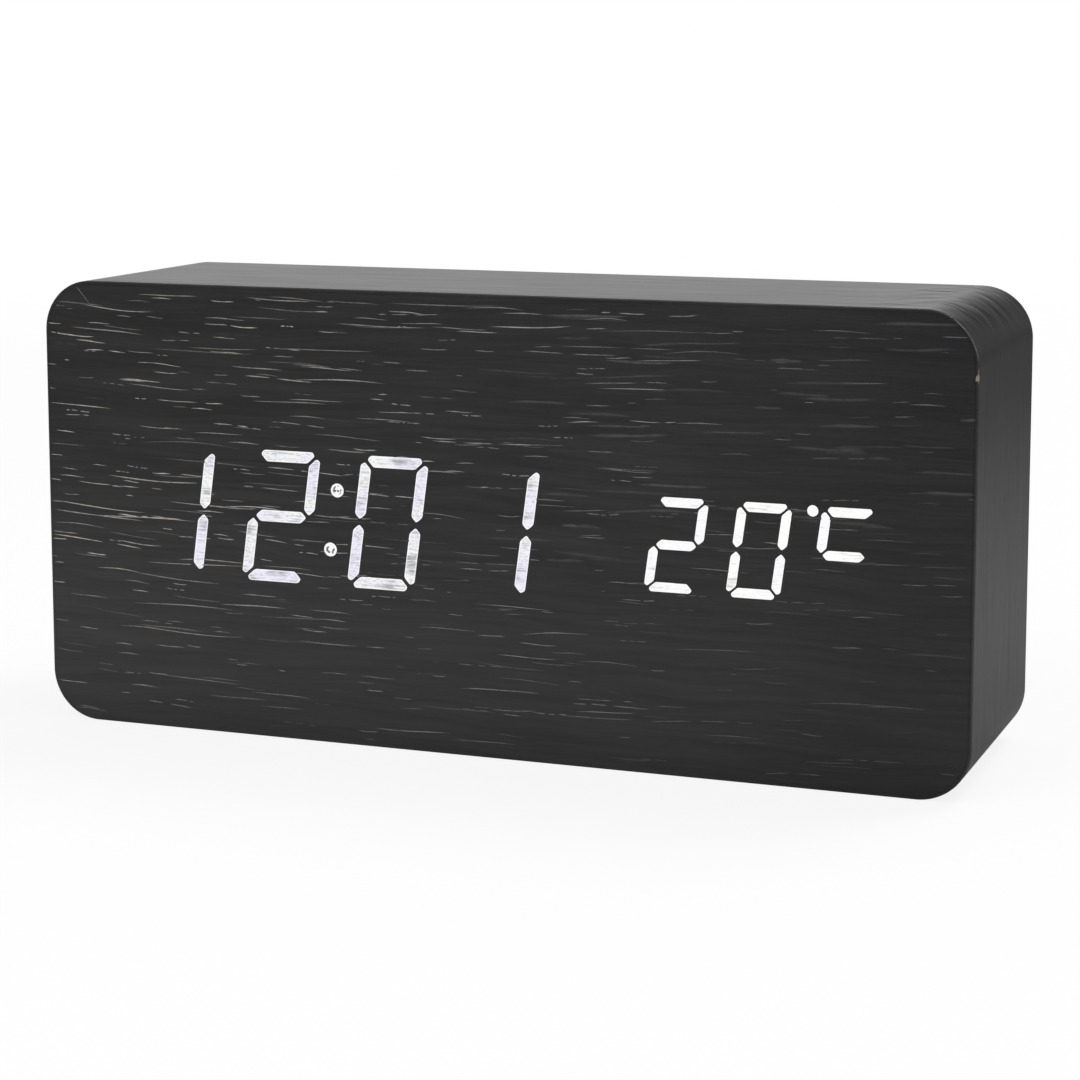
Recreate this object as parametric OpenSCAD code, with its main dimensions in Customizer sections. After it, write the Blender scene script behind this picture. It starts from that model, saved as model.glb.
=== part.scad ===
// Wooden digital alarm clock whose time and temperature shine through a veneer front.
// Millimetres. X runs right seen from the front, Y to the back, Z up.
// The origin is the middle of the footprint on the table.

/* [Block] */
// Width of the block
body_w = 150; // [135:1:180]
// Height of the block
body_h = 71; // [64:1:90]
// Depth of the block, front to back
body_d = 41; // [40:1:60]
// Radius of the four long corners
corner_r = 8; // [6:0.5:12]
// Side wall of the block
side_wall = 7; // [6:0.1:7.6]
// Wall of the block behind the veneer
front_wall = 7; // [5:0.5:8]
// Edge of the block left standing round the rear cover
rim_w = 4; // [3:0.1:4.6]
// Side of the square corner posts that take the cover screws
post = 7; // [6.5:0.5:9]
// Radius left by the router in the pocket corners
router_r = 3; // [1:0.5:4]

/* [Front veneer] */
// Thickness of the veneer sheet
veneer_t = 0.6; // [0.4:0.1:1]
// Thin edge of the block left standing round the veneer
lip_w = 0.5; // [0.4:0.1:1]
// Glue gap round the veneer and round each lit zone
glue_gap = 0.03; // [0.02:0.01:0.05]

/* [Digits] */
// Width of the block that the sizes of the digits are given for
drawn_w = 150; // [135:1:180]
// Lean of the digits in degrees
slant = 7.7; // [0:0.1:10]
// Cut at the outer tips as a share of the stroke
tip_cut = 0.36; // [0.2:0.02:0.4]
// Reach of the rounding at every tip as a share of the stroke
tip_ease = 0.16; // [0.05:0.01:0.18]

/* [Time] */
// Column spacing of a time digit, centre line to centre line
time_w = 9.43; // [9:0.01:10.5]
// Overall height of a time digit
time_h = 20.75; // [19:0.05:22]
// Stroke of a time segment
time_stroke = 1.82; // [1.6:0.02:2.2]
// Gap between neighbouring time segments
time_gap = 0.52; // [0.3:0.02:0.7]
// Spacing from one time digit to the next
time_pitch = 18.1; // [17.5:0.05:18.5]
// Middle of the time, left of the block's middle
time_left = 24.83; // [24:0.01:26]
// Middle of the time, below the block's mid height
time_drop = 0.25; // [0:0.05:1]
// Diameter of a colon dot
colon_d = 2.2; // [1.8:0.05:2.6]
// Spacing of the two colon dots
colon_span = 9.3; // [8:0.1:11]

/* [Temperature] */
// Column spacing of a temperature digit, centre line to centre line
temp_w = 6.79; // [6.4:0.01:7.2]
// Overall height of a temperature digit
temp_h = 14.27; // [13:0.01:16]
// Stroke of a temperature segment
temp_stroke = 1.47; // [1.2:0.01:1.8]
// Gap between neighbouring temperature segments
temp_gap = 0.33; // [0.3:0.01:0.6]
// Spacing from one temperature digit to the next
temp_pitch = 12.63; // [12:0.01:13]
// Middle of the temperature, right of the block's middle
temp_right = 43.2; // [42:0.05:43.5]
// Middle of the temperature, below the block's mid height
temp_drop = 0.65; // [0:0.05:1]
// Diameter of the degree dot
degree_d = 1.68; // [1.4:0.02:1.8]
// Degree dot, left of the last digit's middle
degree_left = 5.48; // [5.4:0.02:5.6]

/* [Display] */
// Thickness of a diffuser film
film_t = 0.3; // [0.2:0.05:0.5]
// Wall of a reflector outside its outermost wells
reflector_wall = 1.2; // [1:0.1:2]
// Play of a reflector in its window
window_play = 0.2; // [0.15:0.05:0.4]
// Corner radius of a reflector
reflector_r = 1.5; // [1:0.1:2]
// Thickness of both boards
board_t = 1.6; // [1.2:0.2:2]
// Edge of the display board outside its reflectors
board_edge = 3.2; // [3:0.1:3.4]
// Narrowing of a well from its mouth to its floor, as a share of the stroke
well_taper = 0.15; // [0:0.01:0.16]
// Long side of a light chip as a share of the stroke
chip_long = 0.85; // [0.5:0.05:0.9]
// Short side of a light chip as a share of the stroke
chip_short = 0.42; // [0.3:0.02:0.44]
// Height of a light chip
chip_h = 0.6; // [0.4:0.1:1]

/* [Rear cover] */
// Thickness of the rear cover
cover_t = 2.6; // [2.4:0.1:3.2]
// Depth of the cover below the back edge of the block
cover_recess = 1; // [1:0.1:2]
// Play of the cover inside the rim
cover_play = 0.25; // [0.15:0.05:0.4]
// Height of the rib that locates the cover in the pocket
rib_h = 2.4; // [1.5:0.1:3]
// Thickness of the locating rib
rib_t = 1.3; // [1:0.1:1.5]
// Play of the locating rib in the pocket
rib_play = 0.3; // [0.2:0.05:0.5]
// Shank of a cover screw
cover_screw_d = 2.6; // [2:0.1:3]
// Length of a cover screw below the face
cover_screw_l = 11; // [8:1:14]

/* [Buttons] */
// Diameter of a button cap
button_d = 6; // [5:0.5:7]
// Height of a cap above the cover
button_proud = 0.9; // [0.7:0.1:1]
// Travel of a button
button_travel = 0.5; // [0.3:0.05:0.6]
// Spacing of the three buttons
button_pitch = 13; // [11:0.5:14]
// Play of a cap in its hole
button_play = 0.25; // [0.2:0.05:0.4]
// Length of the stem below the flange
stem_l = 1.2; // [1:0.1:2]

/* [Control board] */
// Width of the control board
control_w = 40; // [40:1:42]
// Height of the control board
control_h = 42; // [40:1:44]
// Gap between the battery bay and the control board
control_gap = 8; // [7:0.5:12]
// Board screw, shank diameter
board_screw_d = 1.9; // [1.5:0.1:2.2]
// Diameter of the buzzer
buzzer_d = 12; // [10:0.5:13]
// Bore of the power jack
jack_bore_d = 3.7; // [3.5:0.1:4.1]
// Diameter of the jack's centre pin
jack_pin_d = 1.3; // [1:0.05:1.5]
// Outside diameter of the jack's collar
jack_collar_d = 7; // [6.4:0.1:7.6]

/* [Battery] */
// Diameter of a cell
cell_d = 10.4; // [10:0.1:10.6]
// Length of a cell with its nub
cell_l = 44.5; // [44:0.1:45]
// Spacing from one cell to the next
cell_pitch = 11; // [10.9:0.1:11.2]
// Thickness of a contact plate
contact_t = 0.4; // [0.3:0.05:0.6]
// Wire of a contact spring
wire_d = 0.6; // [0.5:0.05:0.65]
// Turns of a contact spring
spring_turns = 4; // [3:1:4]
// Rise of a contact spring in one turn
spring_pitch = 1; // [1:0.05:1.2]
// Diameter of an insulated lead
lead_d = 1.3; // [1:0.1:1.6]
// Wall of the battery bay
bay_wall = 1.4; // [1.2:0.1:1.8]

/* [Battery door] */
// Thickness of the battery door
door_t = 2; // [1.8:0.1:2]
// Gap round the battery door
door_gap = 0.3; // [0.25:0.05:0.5]
// Lap of the door on the ledge round the bay
door_lap = 1.6; // [1.5:0.1:2]
// Diameter of a hinge pin
hinge_d = 1.2; // [1:0.05:1.3]
// Running clearance of a hinge pin on its radius
hinge_play = 0.05; // [0.03:0.01:0.08]
// Width of the thumb latch
latch_w = 12; // [10:0.5:14]
// Radius of the thumb dish above the latch
dish_r = 8.6; // [7:0.1:10]
// Depth of the thumb dish
dish_depth = 1.4; // [1:0.1:1.6]

/* [Hidden] */
$fn = 48;
cut = 1;
over = 0.2;
mid_z = body_h / 2;
lean = tan(slant);

// Planes across the depth
front_y = -body_d / 2;
back_y = body_d / 2;
core_y = front_y + veneer_t;
wall_y = core_y + front_wall;
film_y = core_y + film_t;
display_y = wall_y + board_t;
cover_y = back_y - cover_recess;
inside_y = cover_y - cover_t;
ledge_y = cover_y - door_t;

// Pocket inside the block
cavity_w = body_w - 2 * side_wall;
cavity_h = body_h - 2 * side_wall;
post_room = rib_play + rib_t + 0.8;
cover_screw_at = [cavity_w / 2 - post / 2, cavity_h / 2 - post / 2];

// Digit sets as width, half height, stroke and gap, kept in proportion to the block
face = body_w / drawn_w;
time_size = face * [time_w, (time_h - time_stroke) / 2, time_stroke, time_gap];
temp_size = face * [temp_w, (temp_h - temp_stroke) / 2, temp_stroke, temp_gap];
time_mid = [0, mid_z] + face * [-time_left, -time_drop];
temp_mid = [0, mid_z] + face * [temp_right, -temp_drop];
time_at = [for (i = [0 : 3]) time_mid + face * [(i - 1.5) * time_pitch, 0]];
temp_at = [for (i = [0 : 2]) temp_mid + face * [(i - 1) * temp_pitch, 0]];
one = [1, 2];
two = [0, 1, 3, 4, 6];
nought = [0, 1, 2, 3, 4, 5];
raised_c = [0, 5, 6];
every = [0, 1, 2, 3, 4, 5, 6];
time_lit = [one, two, nought, one];
temp_lit = [two, nought, raised_c];
colon_at = [for (s = [-1, 1]) time_mid + face * s * colon_span / 2 * [lean, 1]];
colon_size = face * colon_d;
degree_at = temp_at[2] + [temp_size[1] * lean - face * degree_left, temp_size[1]];
degree_size = face * degree_d;

// Reflectors and display board
time_block = face * [3 * time_pitch + time_w + time_stroke + time_h * lean, time_h]
    + 2 * [reflector_wall, reflector_wall];
temp_block = face * [2 * temp_pitch + temp_w + temp_stroke + temp_h * lean, temp_h]
    + 2 * [reflector_wall, reflector_wall];
board_half = max(time_block[0] / 2 - time_mid[0], temp_block[0] / 2 + temp_mid[0]) + board_edge;
board_screw_in = 2.5;
display_screw_at = [board_half - board_screw_in, time_block[1] / 2 + window_play + board_screw_in];
screw_head_d = 4;
screw_head_h = 1.4;
screw_slot = [2.2, 1.4, 0.5];
board_screw_l = 6;
hole_play = 0.05;

// Buttons and their switches
seat_gap = 0.1;
flange_t = 1;
flange_d = button_d + 2.4;
stem_d = 3.2;
plunger_d = 3.4;
plunger_proud = 1.5;
plunger_in = 1;
switch_side = 6;
switch_h = 3.5;
flange_y = inside_y - seat_gap;
stem_y = flange_y - flange_t - stem_l;
switch_y = stem_y - plunger_proud;
control_y = switch_y - switch_h;
control_front_y = control_y - board_t;
jack_side = jack_collar_d + 1.4;
jack_y = inside_y - 0.2;
buzzer_h = 6;

// Battery bay, the cells lying along X one above the other
spring_l = spring_turns * spring_pitch + 2 * wire_d;
bay_l = cell_l + spring_l + 2 * contact_t;
bay_h = 3 * cell_pitch;
bay_at = [-cavity_w / 2 + post + post_room + bay_l / 2 + bay_wall, mid_z];
bay_end = bay_at[0] + bay_l / 2 + bay_wall;
cell_lift = 0.15;
bay_y = ledge_y - cell_d - 2 * cell_lift;
bay_back_y = bay_y - bay_wall;
cell_y = bay_y + cell_lift + cell_d / 2;
cell_z = [for (i = [-1 : 1]) mid_z + i * cell_pitch];
plate_side = 8.6;
tab_w = 2.4;
tab_out = 2.5;
tab_y = bay_back_y - tab_out;
divider_t = 0.9;
divider_h = 2.6;

// Places on the control board, which sits beside the bay
boss_d = 5;
control_at = [bay_end + control_gap + control_w / 2, mid_z];
control_screw_at = [control_w / 2 - boss_d * 0.6, control_h / 2 - boss_d * 0.6];
button_z = mid_z + control_h / 4;
button_at = [for (i = [-1 : 1]) control_at[0] - i * button_pitch];
low_z = mid_z - control_h / 2 + jack_side;
jack_at = [control_at[0] + control_screw_at[0] - boss_d / 2 - jack_side / 2 - 0.8, low_z];
buzzer_at = [control_at[0] - control_w / 2 + buzzer_d, mid_z - 0.75 * buzzer_d];
sensor_at = [jack_at[0] - 7.8, low_z - 1];
lead_x = control_at[0] - control_w / 2 + boss_d / 2;

// Battery door, turning about its rounded lower edge
door_w = bay_l + 2 * door_lap;
door_h = bay_h + 2 * door_lap;
door_low_z = mid_z - door_h / 2;
door_top_z = mid_z + door_h / 2;
hinge_y = cover_y - door_t / 2;
hinge_z = door_low_z + door_t / 2;
hinge_in = 1.5;
latch_h = 4;
latch_arm = 5;
latch_arm_t = 1;
latch_rib_in = 1.5;
latch_room = [latch_w + 2 * door_gap, latch_h + door_gap];
latch_wall = 1.2;
latch_floor_y = ledge_y - latch_arm - door_gap;
bay_top_z = mid_z + bay_h / 2 + bay_wall;

// Flat cable between the boards
cable_w = 12.7;
cable_t = 0.9;
cable_r = 3.5;
socket_h = 4.5;
cable_in = 3;
cable_x = control_at[0];
cable_low_z = mid_z - cable_r;

// Places on the display board, beside the cable
chip_body = [17.9, 7.5, 2.2];
crystal_l = 8;
crystal_d = 3;
crystal_at = [cable_x - cable_w / 2 - 6 - crystal_l, mid_z - 2 * cable_r];
clock_chip_at = [crystal_at[0] - 4 - chip_body[0] / 2, mid_z];

// Stands a flat shape drawn in X and Z up between two planes of the depth
module slab(y0, y1) {
    translate([0, y1, 0])
        rotate([90, 0, 0])
            linear_extrude(y1 - y0)
                children();
}

// Round bar along the depth
module rod(d, at, y0, y1) {
    translate([at[0], y1, at[1]])
        rotate([90, 0, 0])
            cylinder(d = d, h = y1 - y0);
}

// Cone along the depth, its wide end at the back
module flare(d0, d1, at, y0, y1) {
    translate([at[0], y1, at[1]])
        rotate([90, 0, 0])
            cylinder(d1 = d1, d2 = d0, h = y1 - y0);
}

module round_rect(w, h, r) {
    square([w - 2 * r, h], center = true);
    square([w, h - 2 * r], center = true);
    for (x = [-1, 1], z = [-1, 1])
        translate([x * (w / 2 - r), z * (h / 2 - r)])
            circle(r);
}

// Outline of the block drawn in by an even margin
module block_outline(margin) {
    translate([0, mid_z])
        round_rect(body_w - 2 * margin, body_h - 2 * margin, corner_r - margin);
}

// Outline of the pocket, a cross that leaves the corner posts standing, drawn in by a margin
module cavity_outline(margin) {
    translate([0, mid_z]) {
        round_rect(cavity_w - 2 * post - 2 * margin, cavity_h - 2 * margin, router_r);
        round_rect(cavity_w - 2 * margin, cavity_h - 2 * post - 2 * margin, router_r);
    }
}

// Segments lettered a to g are numbered 0 to 6; a, b and g are drawn and the rest mirrored.
// Every outline has six points and runs the same way round.
function seg_top(w, h, s, g) =
    let (a = w / 2 - g / sqrt(2), o = s / 2, c = s * tip_cut)
    [[c - a - o, h + o - c], [o - a, h - o], [a - o, h - o],
     [a + o - c, h + o - c], [a + o - 1.6 * c, h + o], [1.6 * c - a - o, h + o]];
function seg_side(w, h, s, g) =
    let (a = w / 2, o = s / 2, c = s * tip_cut, t = g / sqrt(2), e = h + o - t)
    [[a + o, e - 1.6 * c], [a + o - c, e - c], [a - o, h - o - t],
     [a - o, t + o], [a, t], [a + o, t + o]];
function seg_middle(w, s, g) =
    let (a = w / 2 - g / sqrt(2), o = s / 2)
    [[-a, 0], [o - a, -o], [a - o, -o], [a, 0], [a - o, o], [o - a, o]];
function turned(points, u, v) = [
    for (i = [0 : 5])
        let (p = points[u * v < 0 ? 5 - i : i])
        [p[0] * u, p[1] * v]
];
function seg_points(k, w, h, s, g) =
    k == 0 ? seg_top(w, h, s, g) :
    k == 1 ? seg_side(w, h, s, g) :
    k == 2 ? turned(seg_side(w, h, s, g), 1, -1) :
    k == 3 ? turned(seg_top(w, h, s, g), 1, -1) :
    k == 4 ? turned(seg_side(w, h, s, g), -1, -1) :
    k == 5 ? turned(seg_side(w, h, s, g), -1, 1) :
    seg_middle(w, s, g);
function leaned(p, at) = [at[0] + p[0] + p[1] * lean, at[1] + p[1]];
function seg_mid(k, w, h) =
    k == 0 ? [0, h] : k == 1 ? [w / 2, h / 2] : k == 2 ? [w / 2, -h / 2] :
    k == 3 ? [0, -h] : k == 4 ? [-w / 2, -h / 2] : k == 5 ? [-w / 2, h / 2] : [0, 0];

// Closed outline with every corner turned on a short curve of reach r
function softened(p, r) = [
    for (i = [0 : len(p) - 1])
        let (q = p[(i + len(p) - 1) % len(p)], n = p[(i + 1) % len(p)])
        let (a = p[i] + r * unit(q - p[i]), b = p[i] + r * unit(n - p[i]))
        each [a, (a + 2 * p[i] + b) / 4, b]
];

// The stroke shrinks and the gap grows by the same margin on every side
module segment(k, size, at, margin) {
    outline = seg_points(k, size[0], size[1], size[2] - 2 * margin, size[3] + 2 * margin);
    polygon([for (p = softened(outline, tip_ease * size[2])) leaned(p, at)]);
}

// Lit shapes of the time and of the temperature
module time_marks(margin) {
    for (i = [0 : 3], k = time_lit[i])
        segment(k, time_size, time_at[i], margin);
    for (p = colon_at)
        translate(p)
            circle(d = colon_size - 2 * margin);
}

module temp_marks(margin) {
    for (i = [0 : 2], k = temp_lit[i])
        segment(k, temp_size, temp_at[i], margin);
    translate(degree_at)
        circle(d = degree_size - 2 * margin);
}

// Funnel lofted from a segment's outline at the film to a narrower one at the board.
// Both ends run past the block along the same slopes, so no skin is left over them.
module well(k, size, at) {
    slope = well_taper * size[2] / (wall_y - film_y);
    ends = [[film_y - over, -slope * over], [wall_y + over, well_taper * size[2] + slope * over]];
    rings = [
        for (e = ends)
            [for (p = seg_points(k, size[0], size[1], size[2] - 2 * e[1], size[3] + 2 * e[1]))
                let (q = leaned(p, at)) [q[0], e[0], q[1]]]
    ];
    wall = [
        for (i = [0 : 5])
            let (j = (i + 1) % 6)
            each [[i, j, i + 6], [j, j + 6, i + 6]]
    ];
    lids = [for (i = [1 : 4]) each [[0, i + 1, i], [6, i + 6, i + 7]]];
    polyhedron(concat(rings[0], rings[1]), concat(wall, lids));
}

module round_well(d, at) {
    slope = well_taper * d / (wall_y - film_y);
    flare(d - 2 * well_taper * d - 2 * slope * over, d + 2 * slope * over, at, film_y - over, wall_y + over);
}

// Block cut from a thick board, hollowed from the back with a post left in each corner
module case_block() {
    color("#2c2b2b")
    difference() {
        slab(front_y, back_y)
            block_outline(0);
        slab(front_y - cut, core_y)
            block_outline(lip_w);
        for (b = [[time_mid, time_block], [temp_mid, temp_block]])
            slab(core_y - cut, wall_y + cut)
                translate(b[0])
                    round_rect(b[1][0] + 2 * window_play, b[1][1] + 2 * window_play, reflector_r);
        slab(wall_y, back_y + cut)
            cavity_outline(0);
        slab(inside_y, back_y + cut)
            block_outline(rim_w);
        for (x = [-1, 1], z = [-1, 1]) {
            rod(cover_screw_d + 2 * hole_play,
                [x * cover_screw_at[0], mid_z + z * cover_screw_at[1]],
                cover_y - cover_screw_l - 1, inside_y + cut);
            rod(board_screw_d + 2 * hole_play,
                [x * display_screw_at[0], mid_z + z * display_screw_at[1]],
                wall_y - min(board_screw_l, front_wall - 1), wall_y + cut);
        }
    }
}

module front_veneer() {
    color("#343434")
    slab(front_y, core_y)
        difference() {
            block_outline(lip_w + glue_gap);
            time_marks(0);
            temp_marks(0);
        }
}

module time_windows() {
    color("#f4f4ff")
    slab(front_y, core_y)
        time_marks(glue_gap);
}

module temperature_windows() {
    color("#f4f4ff")
    slab(front_y, core_y)
        temp_marks(glue_gap);
}

module time_diffuser() {
    color("#e9edf2")
    slab(core_y, film_y)
        translate(time_mid)
            round_rect(time_block[0], time_block[1], reflector_r);
}

module temperature_diffuser() {
    color("#e9edf2")
    slab(core_y, film_y)
        translate(temp_mid)
            round_rect(temp_block[0], temp_block[1], reflector_r);
}

module reflector(size, places, block, middle) {
    difference() {
        slab(film_y, wall_y)
            translate(middle)
                round_rect(block[0], block[1], reflector_r);
        for (at = places, k = every)
            well(k, size, at);
    }
}

module time_reflector() {
    color("#f2f2ee")
    difference() {
        reflector(time_size, time_at, time_block, time_mid);
        for (p = colon_at)
            round_well(colon_size, p);
    }
}

module temperature_reflector() {
    color("#f2f2ee")
    difference() {
        reflector(temp_size, temp_at, temp_block, temp_mid);
        round_well(degree_size, degree_at);
    }
}

// Light chip standing on the display board in the floor of a well
module light_chip(at, wide, tall) {
    translate([at[0] - wide / 2, wall_y - chip_h, at[1] - tall / 2])
        cube([wide, chip_h, tall]);
}

// Chips of a digit set, lying along the level segments and upright in the others
module digit_chips(size, places) {
    for (at = places, k = every) {
        level = k % 3 == 0;
        light_chip(
            leaned(seg_mid(k, size[0], size[1]), at),
            size[2] * (level ? chip_long : chip_short),
            size[2] * (level ? chip_short : chip_long)
        );
    }
}

module time_leds() {
    color("#f6e27a") {
        digit_chips(time_size, time_at);
        for (p = colon_at)
            light_chip(p, chip_short * colon_size, chip_short * colon_size);
    }
}

module temperature_leds() {
    color("#f6e27a") {
        digit_chips(temp_size, temp_at);
        light_chip(degree_at, chip_short * degree_size, chip_short * degree_size);
    }
}

module display_board() {
    color("#2f6b3c")
    slab(wall_y, display_y)
        translate([0, mid_z])
            difference() {
                square(2 * [board_half, display_screw_at[1] + board_screw_in], center = true);
                for (x = [-1, 1], z = [-1, 1])
                    translate([x * display_screw_at[0], z * display_screw_at[1]])
                        circle(d = board_screw_d + 4 * hole_play);
            }
}

// Pan head screw; dir is 1 with the head at the back and -1 with the head at the front
module pan_screw(at, y, dir) {
    tip_y = y - dir * (board_screw_l - 1.2);
    head_y = y + dir * screw_head_h;
    difference() {
        union() {
            rod(board_screw_d, at, min(y, tip_y), max(y, tip_y));
            rod(screw_head_d, at, min(y, head_y), max(y, head_y));
        }
        for (turn = [0, 90])
            translate([at[0], head_y, at[1]])
                rotate([0, turn, 0])
                    cube(screw_slot, center = true);
    }
}

module display_board_screws() {
    color("#b9bcc0")
    for (x = [-1, 1], z = [-1, 1])
        pan_screw([x * display_screw_at[0], mid_z + z * display_screw_at[1]], display_y, 1);
}

// Chip with two rows of bent legs
module clock_chip() {
    body = chip_body;
    at = clock_chip_at;
    color("#1b1b1d") {
        translate([at[0] - body[0] / 2, display_y + 0.15, at[1] - body[1] / 2])
            cube([body[0], body[2], body[1]]);
        for (i = [0 : 13], s = [-1, 1])
            translate([at[0] + (i - 6.5) * 1.27 - 0.2, 0, at[1] + s * body[1] / 2])
                mirror([0, 0, s < 0 ? 1 : 0]) {
                    translate([0, display_y + 1.1, -0.3])
                        cube([0.4, 0.25, 1.1]);
                    translate([0, display_y, 0.55])
                        cube([0.4, 1.35, 0.25]);
                    translate([0, display_y, 0.55])
                        cube([0.4, 0.25, 0.95]);
                }
    }
}

// Watch crystal can lying on the display board
module quartz_crystal() {
    at = crystal_at;
    can_y = display_y + crystal_d / 2 + 0.1;
    color("#c7cbd0") {
        translate([at[0], can_y, at[1]])
            rotate([0, 90, 0])
                cylinder(d = crystal_d, h = crystal_l);
        for (s = [-1, 1]) {
            translate([at[0] - 2.2, can_y, at[1] + s * 0.55])
                rotate([0, 90, 0])
                    cylinder(d = 0.4, h = 2.4);
            rod(0.4, [at[0] - 2.2, at[1] + s * 0.55], display_y, can_y + 0.2);
        }
    }
}

// Quarter of a flat ring in the Y and Z plane, used for the bends of the cable
module bend(u, v) {
    intersection() {
        difference() {
            circle(cable_r + cable_t / 2);
            circle(cable_r - cable_t / 2);
        }
        translate([u > 0 ? 0 : -2 * cable_r, v > 0 ? 0 : -2 * cable_r])
            square(2 * cable_r);
    }
}

// Cable leaving one socket, stepping up and entering the other
module flat_cable() {
    y0 = display_y + socket_h - cable_in;
    y1 = control_front_y - socket_h + cable_in;
    half = (y0 + y1) / 2;
    color("#9a9da1")
    translate([cable_x - cable_w / 2, 0, 0])
        rotate([90, 0, 90])
            linear_extrude(cable_w) {
                translate([y0, cable_low_z - cable_t / 2])
                    square([half - cable_r - y0, cable_t]);
                translate([half - cable_r, cable_low_z + cable_r])
                    bend(1, -1);
                translate([half + cable_r, cable_low_z + cable_r])
                    bend(-1, 1);
                translate([half + cable_r, cable_low_z + 2 * cable_r - cable_t / 2])
                    square([y1 - half - cable_r, cable_t]);
            }
}

module cable_socket(z, y0, y1, slot_y0, slot_y1) {
    difference() {
        translate([cable_x - cable_w / 2 - 1.3, y0, z - 2.4])
            cube([cable_w + 2.6, y1 - y0, 4.8]);
        translate([cable_x - cable_w / 2 - 0.15, slot_y0, z - cable_t / 2 - 0.1])
            cube([cable_w + 0.3, slot_y1 - slot_y0, cable_t + 0.2]);
    }
}

module cable_sockets() {
    low = display_y + socket_h;
    high = control_front_y - socket_h;
    color("#ece7d6") {
        cable_socket(cable_low_z, display_y, low, low - cable_in - 0.2, low + cut);
        cable_socket(cable_low_z + 2 * cable_r, high, control_front_y, high - cut, high + cable_in + 0.2);
    }
}

module control_board() {
    color("#2f6b3c")
    slab(control_front_y, control_y)
        translate(control_at)
            difference() {
                square([control_w, control_h], center = true);
                for (x = [-1, 1], z = [-1, 1])
                    translate([x * control_screw_at[0], z * control_screw_at[1]])
                        circle(d = board_screw_d + 4 * hole_play);
            }
}

module control_board_screws() {
    color("#b9bcc0")
    for (x = [-1, 1], z = [-1, 1])
        pan_screw(control_at + [x * control_screw_at[0], z * control_screw_at[1]], control_front_y, -1);
}

module switch_bodies() {
    color("#232326")
    for (x = button_at)
        difference() {
            slab(control_y, switch_y)
                translate([x, button_z])
                    square(switch_side, center = true);
            rod(plunger_d + 0.5, [x, button_z], switch_y - plunger_in - button_travel - 0.4, switch_y + cut);
        }
}

module buzzer() {
    color("#141416")
    difference() {
        rod(buzzer_d, buzzer_at, control_y, control_y + buzzer_h);
        rod(2.2, buzzer_at, control_y + buzzer_h - 1.2, control_y + buzzer_h + cut);
    }
}

// Bead on two legs, standing behind the slots of the cover
module temperature_sensor() {
    bead_d = 2.6;
    bead_y = inside_y - 2.2;
    color("#1d1a17") {
        translate([sensor_at[0], bead_y, sensor_at[1]])
            sphere(d = bead_d);
        for (s = [-1, 1])
            rod(0.5, sensor_at + [s * 0.6, 0], control_y, bead_y);
    }
}

module power_jack() {
    face_y = cover_y - 0.2;
    floor_y = face_y - 8;
    color("#18181a")
    difference() {
        union() {
            slab(control_y, jack_y)
                translate(jack_at)
                    square(jack_side, center = true);
            rod(jack_collar_d, jack_at, control_y, face_y);
        }
        rod(jack_bore_d, jack_at, floor_y, face_y + cut);
        flare(jack_bore_d - 0.4, jack_bore_d + 1.4, jack_at, face_y - 0.7, face_y + 0.2);
        rod(jack_pin_d + 2 * hole_play, jack_at, control_y - cut, floor_y + cut);
    }
}

module jack_pin() {
    pin_y = cover_y - 1.6;
    color("#c9b36a") {
        rod(jack_pin_d, jack_at, control_y, pin_y - 0.4);
        flare(jack_pin_d, jack_pin_d * 0.5, jack_at, pin_y - 0.4, pin_y);
    }
}

// Dished cap with a flange that holds it behind the cover and a stem down to its switch
module button(x) {
    at = [x, button_z];
    top_y = cover_y + button_proud;
    color("#202022")
    difference() {
        union() {
            rod(button_d, at, flange_y - flange_t, top_y - 0.4);
            flare(button_d, button_d - 0.8, at, top_y - 0.4, top_y);
            rod(flange_d, at, flange_y - flange_t, flange_y);
            rod(stem_d, at, stem_y, flange_y);
        }
        translate([x, top_y + button_d - 0.35, button_z])
            sphere(r = button_d);
    }
}

module plunger(x) {
    color("#d9d4c4")
    rod(plunger_d, [x, button_z], switch_y - plunger_in, stem_y);
}

module set_button() {
    button(button_at[0]);
}

module up_button() {
    button(button_at[1]);
}

module down_button() {
    button(button_at[2]);
}

module set_plunger() {
    plunger(button_at[0]);
}

module up_plunger() {
    plunger(button_at[1]);
}

module down_plunger() {
    plunger(button_at[2]);
}

// Opening for the thumb latch above the door, between a lower edge and the latch's top
module latch_notch(low_z, margin) {
    translate([bay_at[0] - latch_room[0] / 2 - margin, low_z])
        square([latch_room[0] + 2 * margin, door_top_z + latch_room[1] + margin - low_z]);
}

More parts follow.
